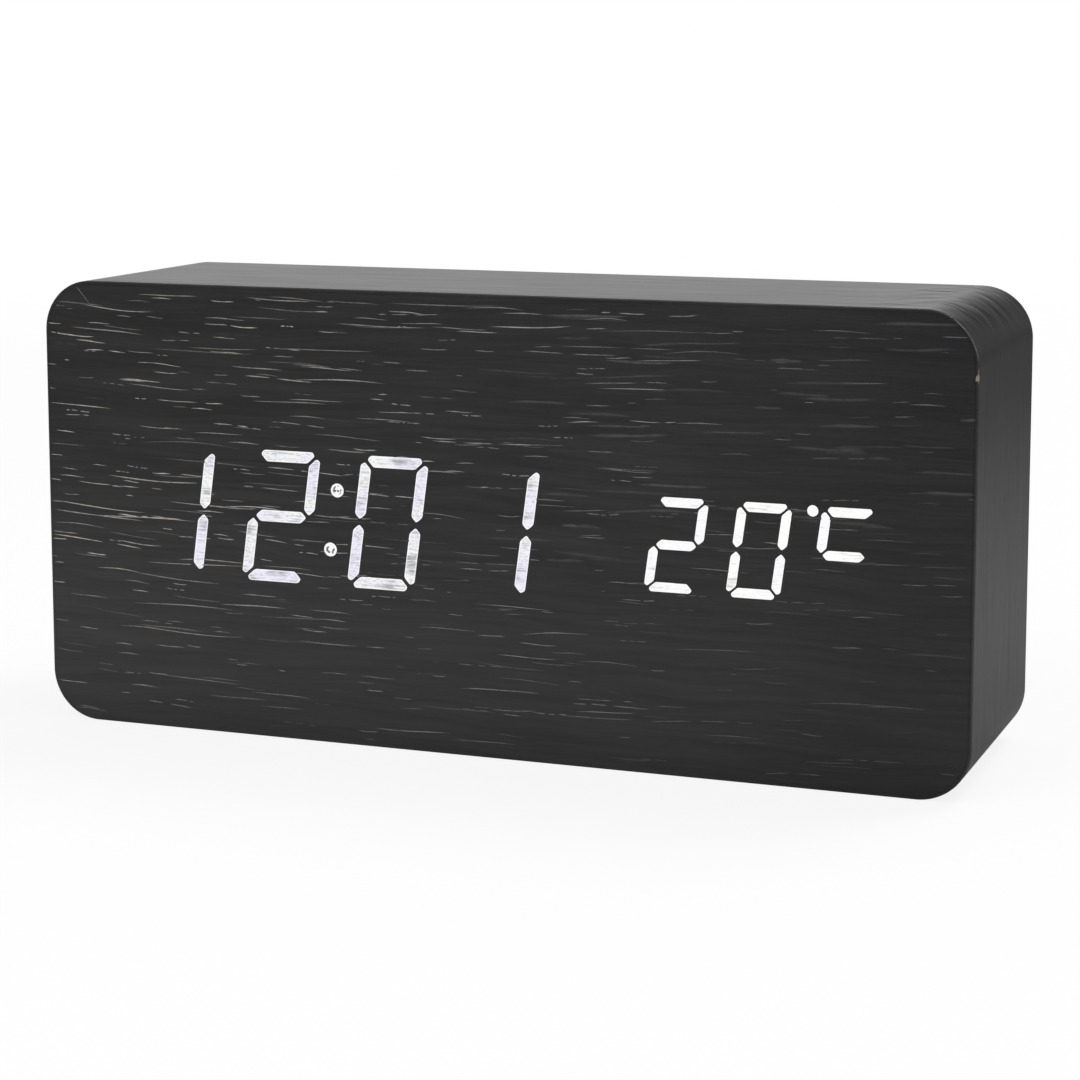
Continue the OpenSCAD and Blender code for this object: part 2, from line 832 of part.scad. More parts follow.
// Moulded cover with the battery bay hanging from it
module rear_cover() {
    color("#1c1c1e")
    difference() {
        union() {
            slab(inside_y, cover_y)
                block_outline(rim_w + cover_play);
            slab(inside_y - rib_h, inside_y + over)
                difference() {
                    cavity_outline(rib_play);
                    cavity_outline(rib_play + rib_t);
                }
            slab(bay_back_y, inside_y + over)
                translate(bay_at)
                    square([bay_l + 2 * bay_wall, bay_h + 2 * bay_wall], center = true);
            for (x = [-1, 1], z = [-1, 1])
                rod(boss_d, control_at + [x * control_screw_at[0], z * control_screw_at[1]],
                    control_y, inside_y + over);
            slab(latch_floor_y - latch_wall, inside_y + over)
                latch_notch(bay_top_z - bay_wall / 2, latch_wall);
        }
        difference() {
            slab(bay_y, cover_y + cut)
                translate(bay_at)
                    square([bay_l, bay_h], center = true);
            for (s = [-1, 1])
                translate([bay_at[0] - bay_l / 4, bay_y - cut, mid_z + s * cell_pitch / 2 - divider_t / 2])
                    cube([bay_l / 2, cut + divider_h, divider_t]);
        }
        slab(ledge_y, cover_y + cut) {
            translate(bay_at)
                square([door_w + 2 * door_gap, door_h + 2 * door_gap], center = true);
        }
        slab(ledge_y, cover_y + cut)
            latch_notch(door_top_z - cut, 0);
        slab(latch_floor_y, cover_y + cut)
            latch_notch(bay_top_z, 0);
        translate([bay_at[0], cover_y + dish_r - dish_depth, door_top_z + latch_room[1]])
            sphere(r = dish_r);
        translate([bay_at[0] - door_w / 2 - door_gap - hinge_in, hinge_y, hinge_z])
            rotate([0, 90, 0])
                cylinder(d = hinge_d + 2 * hinge_play, h = door_w + 2 * door_gap + 2 * hinge_in);
        for (x = button_at)
            rod(button_d + 2 * button_play, [x, button_z], inside_y - cut, cover_y + cut);
        rod(jack_collar_d + 0.5, jack_at, inside_y - cut, cover_y + cut);
        for (a = [0 : 60 : 300])
            rod(1.6, buzzer_at + 3.8 * [cos(a), sin(a)], inside_y - cut, cover_y + cut);
        rod(1.6, buzzer_at, inside_y - cut, cover_y + cut);
        for (i = [-1 : 1])
            slab(inside_y - cut, cover_y + cut)
                translate(sensor_at + [i * 2.4, 0])
                    square([1.2, 7], center = true);
        for (x = [-1, 1], z = [-1, 1]) {
            rod(cover_screw_d + 0.4, [x * cover_screw_at[0], mid_z + z * cover_screw_at[1]],
                inside_y - cut, cover_y + cut);
            flare(cover_screw_d + 0.2, cover_screw_d + 3.4,
                [x * cover_screw_at[0], mid_z + z * cover_screw_at[1]], cover_y - 1.6, cover_y);
            rod(board_screw_d + 2 * hole_play,
                control_at + [x * control_screw_at[0], z * control_screw_at[1]],
                control_y - cut, control_y + board_screw_l);
        }
        for (s = [-1, 1])
            translate([bay_at[0] + s * (bay_l / 2 - 0.5) - 0.5, bay_back_y - cut,
                cell_z[s < 0 ? 0 : 2] - tab_w / 2 - 0.3])
                cube([1, bay_wall + 2 * cut, tab_w + 0.6]);
    }
}

// Countersunk screw with a crossed slot
module cover_screws() {
    color("#3a3b3e")
    for (x = [-1, 1], z = [-1, 1]) {
        at = [x * cover_screw_at[0], mid_z + z * cover_screw_at[1]];
        difference() {
            union() {
                rod(cover_screw_d, at, cover_y - cover_screw_l, cover_y - 1.4);
                flare(cover_screw_d, cover_screw_d + 2.8, at, cover_y - 1.6, cover_y - 0.15);
            }
            for (turn = [0, 90])
                translate([at[0], cover_y, at[1]])
                    rotate([0, turn, 0])
                        cube([2.8, 1.9, 0.6], center = true);
        }
    }
}

// Cell as a turned can with a raised nub at its positive end
module cell() {
    r = cell_d / 2;
    rotate([0, 90, 0])
        rotate_extrude()
            polygon([
                [0, 0], [1.9, 0], [1.9, 1], [r - 0.9, 1], [r - 0.3, 1.3], [r, 1.8],
                [r, cell_l - 0.6], [r - 0.5, cell_l], [0, cell_l]
            ]);
}

module battery_cells() {
    color("#54606b")
    for (i = [0 : 2])
        translate([bay_at[0], cell_y, cell_z[i]])
            mirror([i == 1 ? 1 : 0, 0, 0])
                translate([-bay_l / 2 + contact_t, 0, 0])
                    cell();
}

// Plate spanning cells i to j at one end of the bay, with a solder tab where it ends the chain
module contact_plate(side, i, j, tab) {
    x = bay_at[0] + side * (bay_l / 2 - contact_t / 2) - contact_t / 2;
    low = cell_z[i] - plate_side / 2;
    translate([x, cell_y - plate_side / 2, low])
        cube([contact_t, plate_side, cell_z[j] - cell_z[i] + plate_side]);
    if (tab)
        translate([x, tab_y, cell_z[i] - tab_w / 2])
            cube([contact_t, cell_y - tab_y, tab_w]);
}

module contact_plates() {
    color("#c4c7cb") {
        contact_plate(-1, 0, 0, true);
        contact_plate(-1, 1, 2, false);
        contact_plate(1, 0, 1, false);
        contact_plate(1, 2, 2, true);
    }
}

// Round tube along a line of points, its rings carried from one to the next without twist
function unit(v) = v / norm(v);
function heading(p, i) = unit(p[min(i + 1, len(p) - 1)] - p[max(i - 1, 0)]);
function square_to(t) = unit(cross(t, abs(t[2]) < 0.9 ? [0, 0, 1] : [0, 1, 0]));
function carried(p, i) =
    i == 0 ? square_to(heading(p, 0)) :
    let (n = carried(p, i - 1), t = heading(p, i)) unit(n - (n * t) * t);
function ring(p, i, r, sides) =
    let (t = heading(p, i), n = carried(p, i), b = cross(t, n))
    [for (k = [0 : sides - 1]) p[i] + r * (cos(360 * k / sides) * n + sin(360 * k / sides) * b)];

module tube(p, d, sides) {
    last = len(p) - 1;
    skin = [
        for (i = [0 : last - 1], k = [0 : sides - 1])
            let (a = i * sides + k, b = i * sides + (k + 1) % sides)
            each [[a, a + sides, b], [b, a + sides, b + sides]]
    ];
    first_end = [for (k = [1 : sides - 2]) [0, k, k + 1]];
    last_end = [for (k = [1 : sides - 2]) [last * sides, last * sides + k + 1, last * sides + k]];
    polyhedron([for (i = [0 : last]) each ring(p, i, d / 2, sides)], concat(skin, first_end, last_end));
}

// Conical spring from its plate to the cell, both ends straight for one wire diameter
spring_steps = 8 * spring_turns;
spring_points = concat(
    [[0, 0, 3]],
    [for (i = [0 : spring_steps])
        let (a = 360 * i / 8, r = 3 - 1.4 * i / spring_steps)
        [wire_d + spring_pitch * a / 360, r * sin(a), r * cos(a)]],
    [[spring_l, 0, 1.6]]
);
spring_room = min([
    for (i = [0 : spring_steps], j = [i + 5 : 1 : spring_steps + 1])
        norm(spring_points[i] - spring_points[j])
]) - wire_d;
echo(spring_least_gap = spring_room);

module contact_springs() {
    color("#d2d5d8")
    for (s = [[-1, 1], [1, 0], [1, 2]])
        translate([bay_at[0], cell_y, cell_z[s[1]]])
            mirror([s[0] > 0 ? 1 : 0, 0, 0])
                translate([-bay_l / 2 + contact_t, 0, 0])
                    tube(spring_points, wire_d, 6);
}

// Line of corners with every inner corner turned on a curve of reach r
function eased(p, r) = [
    for (i = [0 : len(p) - 1])
        each i == 0 || i == len(p) - 1 ? [p[i]] :
        let (a = p[i] + r * unit(p[i - 1] - p[i]), b = p[i] + r * unit(p[i + 1] - p[i]))
        [for (t = [0 : 0.25 : 1]) (1 - t) * (1 - t) * a + 2 * t * (1 - t) * p[i] + t * t * b]
];

// Leads from the two end tabs under the bay to the control board
lead_y = tab_y - 2.4;

module lead(side, z0, z1) {
    x0 = bay_at[0] + side * (bay_l / 2 - contact_t / 2);
    tube(eased([
        [x0, tab_y, z0], [x0, lead_y, z0], [x0 + (lead_x - x0) * 0.5, lead_y, (z0 + z1) / 2],
        [lead_x, lead_y, z1], [lead_x, control_front_y, z1]
    ], 1.6), lead_d, 8);
}

module red_lead() {
    color("#b3211c")
    lead(-1, cell_z[0], mid_z - 6);
}

module black_lead() {
    color("#17171a")
    lead(1, cell_z[2], mid_z + 6);
}

// Door with a rounded lower edge on the hinge line, two pins, and a ribbed thumb latch
module battery_door() {
    color("#1c1c1e") {
        slab(ledge_y, cover_y)
            translate([bay_at[0] - door_w / 2, hinge_z])
                square([door_w, door_top_z - hinge_z]);
        translate([bay_at[0] - door_w / 2, hinge_y, hinge_z])
            rotate([0, 90, 0])
                cylinder(d = door_t, h = door_w);
        translate([bay_at[0] - door_w / 2 - hinge_in + 0.1, hinge_y, hinge_z])
            rotate([0, 90, 0])
                cylinder(d = hinge_d, h = door_w + 2 * hinge_in - 0.2);
        slab(ledge_y, cover_y)
            translate([bay_at[0] - latch_w / 2, door_top_z - cut])
                square([latch_w, cut + latch_h]);
        slab(ledge_y - latch_arm, ledge_y + 0.1)
            translate([bay_at[0] - latch_w / 2, door_top_z + 1])
                square([latch_w, latch_arm_t]);
        for (i = [0 : 2])
            translate([bay_at[0] - latch_w / 2 + latch_rib_in, cover_y, door_top_z + 0.6 + i * 1.3])
                rotate([0, 90, 0])
                    cylinder(d = 0.7, h = latch_w - 2 * latch_rib_in);
    }
}

case_block();
front_veneer();
time_windows();
temperature_windows();
time_diffuser();
temperature_diffuser();
time_reflector();
temperature_reflector();
time_leds();
temperature_leds();
display_board();
display_board_screws();
clock_chip();
quartz_crystal();
flat_cable();
cable_sockets();
control_board();
control_board_screws();
switch_bodies();
buzzer();
temperature_sensor();
power_jack();
jack_pin();
set_button();
up_button();
down_button();
set_plunger();
up_plunger();
down_plunger();
rear_cover();
cover_screws();
battery_cells();
contact_plates();
contact_springs();
red_lead();
black_lead();
battery_door();
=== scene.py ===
import math

import bmesh
import bpy
import numpy as np
from mathutils import Matrix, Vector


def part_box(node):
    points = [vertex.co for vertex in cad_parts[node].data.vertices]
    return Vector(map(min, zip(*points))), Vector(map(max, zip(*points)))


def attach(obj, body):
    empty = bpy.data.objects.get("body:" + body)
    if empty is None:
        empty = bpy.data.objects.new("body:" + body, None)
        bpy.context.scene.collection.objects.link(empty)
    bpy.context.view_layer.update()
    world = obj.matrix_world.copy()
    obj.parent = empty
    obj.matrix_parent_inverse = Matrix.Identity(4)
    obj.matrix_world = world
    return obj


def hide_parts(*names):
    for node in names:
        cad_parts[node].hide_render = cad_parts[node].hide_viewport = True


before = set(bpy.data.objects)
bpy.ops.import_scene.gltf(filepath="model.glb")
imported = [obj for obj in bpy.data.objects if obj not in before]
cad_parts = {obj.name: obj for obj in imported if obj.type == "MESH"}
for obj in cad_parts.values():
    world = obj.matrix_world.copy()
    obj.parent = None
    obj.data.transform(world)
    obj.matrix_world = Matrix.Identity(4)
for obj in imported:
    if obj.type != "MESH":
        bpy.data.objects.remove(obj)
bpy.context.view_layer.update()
scene = bpy.context.scene
mm = 0.001  # lengths below are in millimetres where no note says metres
print("frame loaded,", len(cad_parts), "solids")


# Camera

cameraView = dict(
    place=(150.833, -395.364, 107.776),
    right=(0.9355, 0.35333, -0.00089),
    down=(0.0449, -0.12139, -0.99159),
    lens=90.45, shiftY=-0.1296,
)


# A new object in the scene
def addObject(name, data):
    made = bpy.data.objects.new(name, data)
    scene.collection.objects.link(made)
    return made


# Millimetres as metres
def metres(values):
    return tuple(v * mm for v in values)


# Vectors divided by their own lengths
def unit(vectors):
    return np.asarray(vectors) / np.linalg.norm(vectors, axis=-1, keepdims=True)


# Columns of the matrix: the right axis, the up axis as back x right, the back axis and the place
def lookMatrix(right, back, place):
    turn = np.eye(4)
    turn[:3] = np.stack([right, np.cross(back, right), back, place], -1)
    return Matrix(turn.tolist())


# The camera's back axis is square to the photo's right and down
def aimCamera(view):
    right = unit(view["right"])
    back = unit(np.cross(view["down"], right))
    data = bpy.data.cameras.new("photoCamera")
    data.sensor_width = 36
    data.lens = view["lens"]
    data.shift_y = view["shiftY"]
    data.clip_start, data.clip_end = 0.01, 50
    camera = addObject("photoCamera", data)
    camera.matrix_world = lookMatrix(right, back, metres(view["place"]))
    scene.camera = camera


aimCamera(cameraView)


# Mesh helpers

# Points of a circle of radius one at the given degrees, as cosine and sine
def onCircle(degrees):
    turn = np.radians(degrees)
    return np.stack([np.cos(turn), np.sin(turn)], -1)


# Share of the way from start to end, held between 0 and 1
def ramp(value, start, end):
    return np.clip((value - start) / (end - start), 0, 1)


# Quads of a grid of rows by columns, where the columns may close on themselves
def gridQuads(rows, columns, closed):
    last = columns if closed else columns - 1
    i, j = np.meshgrid(np.arange(rows - 1), np.arange(last), indexing="ij")
    k = (j + 1) % columns
    here, below = i * columns, (i + 1) * columns
    return np.stack([here + j, here + k, below + k, below + j], -1).reshape(-1, 4)


# Faces of tubes that follow each other in a mesh: quads round every tube, and its two end caps
def tubeFaces(tubes, rings, sides):
    start = (np.arange(tubes) * rings * sides)[:, None, None]
    quads = (start + gridQuads(rings, sides, True)[None]).reshape(-1, 4)
    caps = np.stack([np.arange(sides)[::-1], np.arange(sides) + (rings - 1) * sides])
    return [quads, (start + caps[None]).reshape(-1, sides)]


# Signed volume is a sixth of the sum of a . (b x c) over the triangle fan of every face
def pointsOutward(points, faces):
    total = sum(
        np.einsum("ij,ij->i", points[f[:, 0]], np.cross(points[f[:, a]], points[f[:, a + 1]])).sum()
        for f in faces for a in range(1, f.shape[1] - 1)
    )
    return total > 0


# Puts a mesh into a piece on its body, smooth up to the sharp angle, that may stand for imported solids
def addPiece(name, mesh, body, nodes=(), slot=None, finish=None, sharp=35.0):
    mesh.polygons.foreach_set("use_smooth", np.ones(len(mesh.polygons), bool))
    mesh.set_sharp_from_angle(angle=math.radians(sharp))
    piece = addObject(name, mesh)
    if finish:
        mesh.materials.append(finish)
    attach(piece, body)
    if nodes:
        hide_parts(*nodes)
    return piece


# Puts whole arrays of points and faces into one piece, turning the faces outward as a set
def makePiece(name, points, faces, body, **settings):
    points = np.asarray(points, float).reshape(-1, 3)
    if not pointsOutward(points, faces):
        faces = [f[:, ::-1] for f in faces]
    mesh = bpy.data.meshes.new(name)
    mesh.from_pydata(points.tolist(), [], [row for f in faces for row in f.tolist()])
    return addPiece(name, mesh, body, **settings)


# Material helpers

mostNoise = (0.3, 0.7)  # nearly all values of a noise lie between these


# A new material, and the place in its object, which is the place in the frame
def newFinish(name):
    finish = bpy.data.materials.new(name)
    finish.use_nodes = True
    return finish, addNode(finish.node_tree, "TexCoord")["Object"]


# Fills the inputs of a node: a socket is linked and anything else is set
def feed(node, inputs):
    for key, value in inputs.items():
        if isinstance(value, bpy.types.NodeSocket):
            node.id_data.links.new(value, node.inputs[key])
        else:
            node.inputs[key].default_value = value


# Ends a finish: what it is made of goes to its surface shader
def dress(finish, tone, rough, normal=None, gloss=0.5, metal=0.0):
    inputs = {"Base Color": tone, "Roughness": rough, "Specular IOR Level": gloss, "Metallic": metal}
    if normal is not None:
        inputs["Normal"] = normal
    feed(finish.node_tree.nodes["Principled BSDF"], inputs)
    return finish


# Adds a shader node to a tree, given by itself or by one of its sockets, and gives the node's outputs
def addNode(at, kind, inputs=None, **settings):
    node = at.id_data.nodes.new("ShaderNode" + kind)
    for key, value in settings.items():
        setattr(node, key, value)
    feed(node, inputs or {})
    return node.outputs


# One step of arithmetic on numbers
def calc(operation, a, b=0.0, c=0.0):
    return addNode(a, "Math", {0: a, 1: b, 2: c}, operation=operation)[0]


# One step of arithmetic on vectors
def vectorCalc(operation, a, b=(0.0, 0.0, 0.0)):
    outputs = addNode(a, "VectorMath", {0: a, 1: b}, operation=operation)
    return outputs["Value" if operation == "LENGTH" else "Vector"]


# Product of several values
def times(first, *others):
    for value in others:
        first = calc("MULTIPLY", first, value)
    return first


# Mean of two values: share times the first plus the rest of the second
def weigh(a, share, b):
    return calc("MULTIPLY_ADD", a, share, times(b, 1 - share))


# Eases a value from low to high over to toLow to toHigh, held at both ends
def remap(value, low, high, toLow=0.0, toHigh=1.0):
    ends = {"Value": value, "From Min": low, "From Max": high, "To Min": toLow, "To Max": toHigh}
    return addNode(value, "MapRange", ends, interpolation_type="SMOOTHSTEP")["Result"]


# Mix of two tones; the colour sockets of the mix node have the numbers 6 and 7
def blend(factor, a, b):
    a, b = (tone if isinstance(tone, bpy.types.NodeSocket) else (*tone, 1.0) for tone in (a, b))
    return addNode(factor, "Mix", {0: factor, 6: a, 7: b}, data_type="RGBA")[2]


# Noise whose blotches are size millimetres, one number or three, along the axes
def noise(coords, size, detail=3.0, roughness=0.55, warp=0.0):
    scale = 1 / (np.broadcast_to(size, 3) * mm)
    scaled = addNode(coords, "Mapping", {"Vector": coords, "Scale": scale})[0]
    inputs = {"Vector": scaled, "Scale": 1.0, "Detail": detail, "Roughness": roughness, "Distortion": warp}
    return addNode(coords, "TexNoise", inputs)["Fac"]


# The three parts of a vector
def axes(vector):
    return addNode(vector, "SeparateXYZ", {0: vector})[:]


# Normal of a relief that is depth millimetres deep
def bump(height, depth):
    inputs = {"Height": height, "Distance": depth * mm, "Strength": 1.0}
    return addNode(height, "Bump", inputs)[0]


# What a plain finish is where its own look says nothing else
usualLook = dict(
    drift=0.25, driftSize=6,  # how much darker the second tone is, and its blotches
    litTops=0.2,  # share of the relief in the tone, a painted highlight on its tops
    rough=0.3, uneven=0.08, relief=0.006, reliefSize=0.5, metal=0.0,
)


# A moulded or plated surface: two drifting tones, uneven gloss and a fine relief with a painted highlight on
# its tops
def plainFinish(name, look):
    look = {**usualLook, **look}
    finish, coords = newFinish(name)
    relief = noise(coords, look["reliefSize"], detail=2, roughness=0.4)
    drift = noise(coords, look["driftSize"], detail=4)
    patches = noise(coords, size=9, detail=2)
    # painted highlight on the tops of the relief, mixed with the drift
    pale = remap(weigh(relief, look["litTops"], drift), *mostNoise)
    shade = np.array(look["tone"]) * (1 - look["drift"])
    low, high = look["rough"] - look["uneven"], look["rough"] + look["uneven"]
    return dress(
        finish, blend(pale, shade, look["tone"]),
        remap(patches, low=0.25, high=0.75, toLow=low, toHigh=high),
        bump(relief, look["relief"]), metal=look["metal"],
    )


# Front veneer

veneer = dict(
    tone=(0.0238, 0.0238, 0.0238), dark=(0.0142, 0.0142, 0.0145), rough=(0.48, 0.40), gloss=0.34,
    litTone=(0.050, 0.050, 0.050), litDark=(0.043, 0.043, 0.043),  # painted light: the sheet is paler towards the base and a little to the left
    fade=0.70, litFrom=(-45, 14), litLean=0.15,
    shadedTone=(0.002, 0.002, 0.002), shade=0.42, shadeFrom=(30, 76),  # and painted shade, darker at the right
    sway=5, streaks=0.45, pores=0.010,  # bends of the grain, share of fine streaks, depth of pores
)
chip = dict(
    place=(74.85, -20.5, 61.5), reach=(0.42, 0.5, 0.75), tone=(0.27, 0.22, 0.165),
    ragged=1.9, edge=(1.75, 1.5),
)


# A bare place on the front edge: an egg round the chip's middle whose distance is made ragged by noise
def chipped(coords, tone):
    offset = vectorCalc("SUBTRACT", coords, metres(chip["place"]))
    egg = vectorCalc("MULTIPLY", offset, tuple(1 / r for r in metres(chip["reach"])))
    crumbs = noise(coords, size=0.5)
    away = calc("MULTIPLY_ADD", crumbs, chip["ragged"], vectorCalc("LENGTH", egg))
    return blend(remap(away, *chip["edge"]), tone, chip["tone"])


# Dark stained sheet: long faint grain along the width, a broad drift of tone and shallow open pores, with
# painted light towards the base and painted shade at the right
def veneerFinish(look):
    finish, coords = newFinish("stainedVeneer")
    sway = times(noise(coords, size=(38, 38, 16), detail=2), look["sway"] * mm)
    bent = vectorCalc("ADD", coords, addNode(coords, "CombineXYZ", {2: sway})[0])
    x, z = axes(bent)[::2]
    streak = noise(bent, size=(26, 5, 0.8), detail=4, roughness=0.6)
    broad = noise(bent, size=(34, 20, 3))
    pale = remap(weigh(streak, look["streaks"], broad), low=0.36, high=0.64)
    tone = blend(pale, look["dark"], look["tone"])
    litTone = blend(pale, look["litDark"], look["litTone"])
    # painted light: paler towards the base and a little to the left; painted shade: darker at the right
    lowerLeft = calc("MULTIPLY_ADD", x, -look["litLean"], times(z, -1.0))
    fade = remap(lowerLeft, *metres(look["litFrom"]), toHigh=look["fade"])
    shade = remap(x, *metres(look["shadeFrom"]), toHigh=look["shade"])
    tone = blend(shade, blend(fade, tone, litTone), look["shadedTone"])
    pores = remap(noise(bent, size=(8, 3, 0.4)), low=0.35, high=0.6)
    return dress(
        finish, chipped(coords, tone), remap(streak, *mostNoise, *look["rough"]),
        bump(pores, look["pores"]), look["gloss"],
    )


sheetFinish = veneerFinish(veneer)


# Wooden block

block = dict(
    width=150, height=71, depth=41, corner=8, lip=0.5, veneer=0.6, frontWall=7, sideWall=7,
    rim=4, post=7, router=3, coverSeat=3.6,
    frontEase=0.16, backEase=0.4, seatEase=0.25, easePoints=6, arcPoints=27,
    guards=(0.02, 0.7, 0.9, 0.3, 0.2),  # from the eased edges to the rings beside them
)
window = dict(radius=1.5, play=0.2, front=0.3, back=-8.0, sides=48)  # opening round a reflector
film = dict(
    tone=(0.030, 0.030, 0.031), grain=(0.022, 0.022, 0.023), rough=(0.28, 0.32), gloss=(0.38, 0.52),
    edge=(0.15, 0.145, 0.14), wornGlintDepth=(0.13, 0.06), wornGlintFrom=(105.0, 105.8),  # worn line that is mostly a painted highlight, by x + z / 2
    relief=0.018, broad=5.0, pebbles=1.2, ripples=16.0,  # depth of the finest waves, and gain of the others
    bend=(126, 136), atBend=0.3,  # the relief is fainter near the upper right corner, by x + z
    rippleFrom=(124, 134), rippleHeight=(63.5, 69.5),
)
core = dict(dark=(0.16, 0.10, 0.06), pale=(0.36, 0.26, 0.17), rough=0.85, relief=0.05)
frontY, backY = -block["depth"] / 2, block["depth"] / 2
midZ = block["height"] / 2


# Corner path of a round rectangle, from the base to the right: centre plus radius times cosine and sine
def roundCorner(b, inset):
    centre = np.array([b["width"] / 2 - b["corner"], -b["height"] / 2 + b["corner"]])
    return centre + (b["corner"] - inset) * onCircle(np.linspace(-90, 0, b["arcPoints"]))


# Corner path of the pocket: a router arc, the square nook round the corner post, and a second router arc
def postCorner(b):
    right, base = b["width"] / 2 - b["sideWall"], b["sideWall"] - b["height"] / 2
    router, post = b["router"], b["post"]
    arc = router * onCircle(np.linspace(-90, 0, b["arcPoints"] // 2))
    first = arc + [right - post - router, base + router]
    second = arc + [right - router, base + post + router]
    return np.concatenate([first, [[right - post, base + post]], second])


# Closed outline: a point below the middle that hides the seam, the corner path and its mirror images
def closedOutline(corner):
    loop = [corner, (corner * [1, -1])[::-1], -corner, (corner * [-1, 1])[::-1]]
    return np.concatenate([[[0, corner[0, 1]]], *loop]) + [0, midZ]


# Outlines of x and z, each set at its own depth y, in metres
def atDepths(outlines, depths):
    return np.array([np.insert(o, 1, y, axis=1) for o, y in zip(outlines, depths)]) * mm


# Rings down the profile: every ring is an outline with an inset at a depth.
# A quarter round of radius e goes e(1 - sin) one way and e(1 - cos) the other.
def blockRings(b):
    lipGuard, frontGuard, backGuard, rimGuard, seatGuard = b["guards"]
    byCos, bySin = 1 - onCircle(np.linspace(0, 90, b["easePoints"])).T
    seatY = backY - b["coverSeat"]
    rings = [(b["lip"], frontY + b["veneer"]), (b["lip"], frontY), (b["frontEase"] + lipGuard, frontY)]
    rings += zip(b["frontEase"] * bySin, frontY + b["frontEase"] * byCos)
    rings += [(0, frontY + frontGuard), (0, backY - backGuard)]
    rings += zip(b["backEase"] * byCos, backY - b["backEase"] * bySin)
    rings += [(b["backEase"] + rimGuard, backY), (b["rim"] - b["seatEase"] - seatGuard, backY)]
    rings += zip(b["rim"] - b["seatEase"] * bySin, backY - b["seatEase"] * byCos)
    rings += [(b["rim"], seatY)]
    pocket = closedOutline(postCorner(b))
    outlines = [closedOutline(roundCorner(b, inset)) for inset, y in rings] + [pocket, pocket]
    depths = [y for inset, y in rings] + [seatY, frontY + b["veneer"] + b["frontWall"]]
    return atDepths(outlines, depths)


# Lengths along a path of points, from 0 at its start
def pathLengths(points):
    return np.concatenate([[0], np.cumsum(np.linalg.norm(np.diff(points, axis=0), axis=1))])


# Wrap coordinates: metres round the widest ring across, metres down the profile along
def wrapCoords(rings):
    widest = rings[np.ptp(rings[..., 0], axis=1).argmax()]
    around = pathLengths(np.append(widest, widest[:1], 0))
    along = pathLengths(rings[:, 0])
    i, j = np.meshgrid(np.arange(len(rings) - 1), np.arange(rings.shape[1]), indexing="ij")
    corners = ((0, 0), (0, 1), (1, 1), (1, 0))
    quads = np.stack([np.stack([around[j + dj], along[i + di]], -1) for di, dj in corners], 2)
    return quads.reshape(-1, 4, 2)


# Smooth dark film over the core: long faint grain round the sides, satin gloss, a worn edge that is mostly a
# painted highlight, and one chip
def filmFinish(look):
    finish, coords = newFinish("sideFilm")
    wrap = addNode(coords, "UVMap", uv_map="wrap")[0]
    x, y, z = axes(coords)
    streak = noise(wrap, size=(30, 1.3, 1), detail=4, warp=0.5)
    broad = noise(wrap, size=(22, 2.6, 1), detail=2, warp=0.8)
    grain = weigh(streak, 0.5, broad)
    tone = blend(remap(grain, low=0.38, high=0.62), look["grain"], look["tone"])
    # painted highlight, partly wear: a paler line along the upper right front edge
    nearFront = remap(y, *metres(frontY + d for d in look["wornGlintDepth"]))
    upperRight = remap(calc("MULTIPLY_ADD", z, 0.5, x), *metres(look["wornGlintFrom"]))
    patches = remap(noise(coords, size=3), low=0.35, high=0.6)
    tone = blend(times(nearFront, upperRight, patches), tone, look["edge"])
    relief = calc("MULTIPLY_ADD", broad, look["broad"], noise(wrap, size=(14, 0.5, 1)))
    pebbles = noise(coords, size=0.45, detail=1)
    relief = calc("MULTIPLY_ADD", pebbles, look["pebbles"], relief)
    diagonal = calc("ADD", x, z)
    relief = times(relief, remap(diagonal, *metres(look["bend"]), 1.0, look["atBend"]))
    ripples = noise(wrap, size=(8, 4.2, 1), detail=1, warp=0.6)
    nearBend = remap(diagonal, *metres(look["rippleFrom"]))
    nearTop = remap(z, *metres(look["rippleHeight"]))
    ripples = times(ripples, nearBend, nearTop, look["ripples"])
    wisps = noise(wrap, size=(24, 3.4, 1), warp=1.2)
    return dress(
        finish, chipped(coords, tone), remap(grain, *mostNoise, *look["rough"]),
        bump(calc("ADD", relief, ripples), look["relief"]),
        remap(wisps, 0.32, 0.52, *look["gloss"]),
    )


# Raw pressed fibre inside the pocket: brown with pale and dark fibres
def coreFinish(look):
    finish, coords = newFinish("pressedFibre")
    fibre = noise(coords, size=(0.8, 0.25, 0.8), detail=6, roughness=0.7)
    tone = blend(remap(fibre, *mostNoise), look["dark"], look["pale"])
    return dress(finish, tone, look["rough"], bump(fibre, look["relief"]))


# Prism that cuts a light window: corner centres, by the signs of cosine and sine, plus radius times these
def windowPrism(name, node, w):
    low, high = (np.array(end)[::2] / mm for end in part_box(node))
    half, centre = (high - low) / 2 + w["play"], (high + low) / 2
    circle = onCircle((np.arange(w["sides"]) + 0.5) * 360 / w["sides"])
    outline = centre + np.sign(circle) * (half - w["radius"]) + w["radius"] * circle
    points = atDepths([outline, outline], [frontY + w["front"], w["back"]])
    return makePiece(name, points, tubeFaces(1, 2, w["sides"]), "clock")


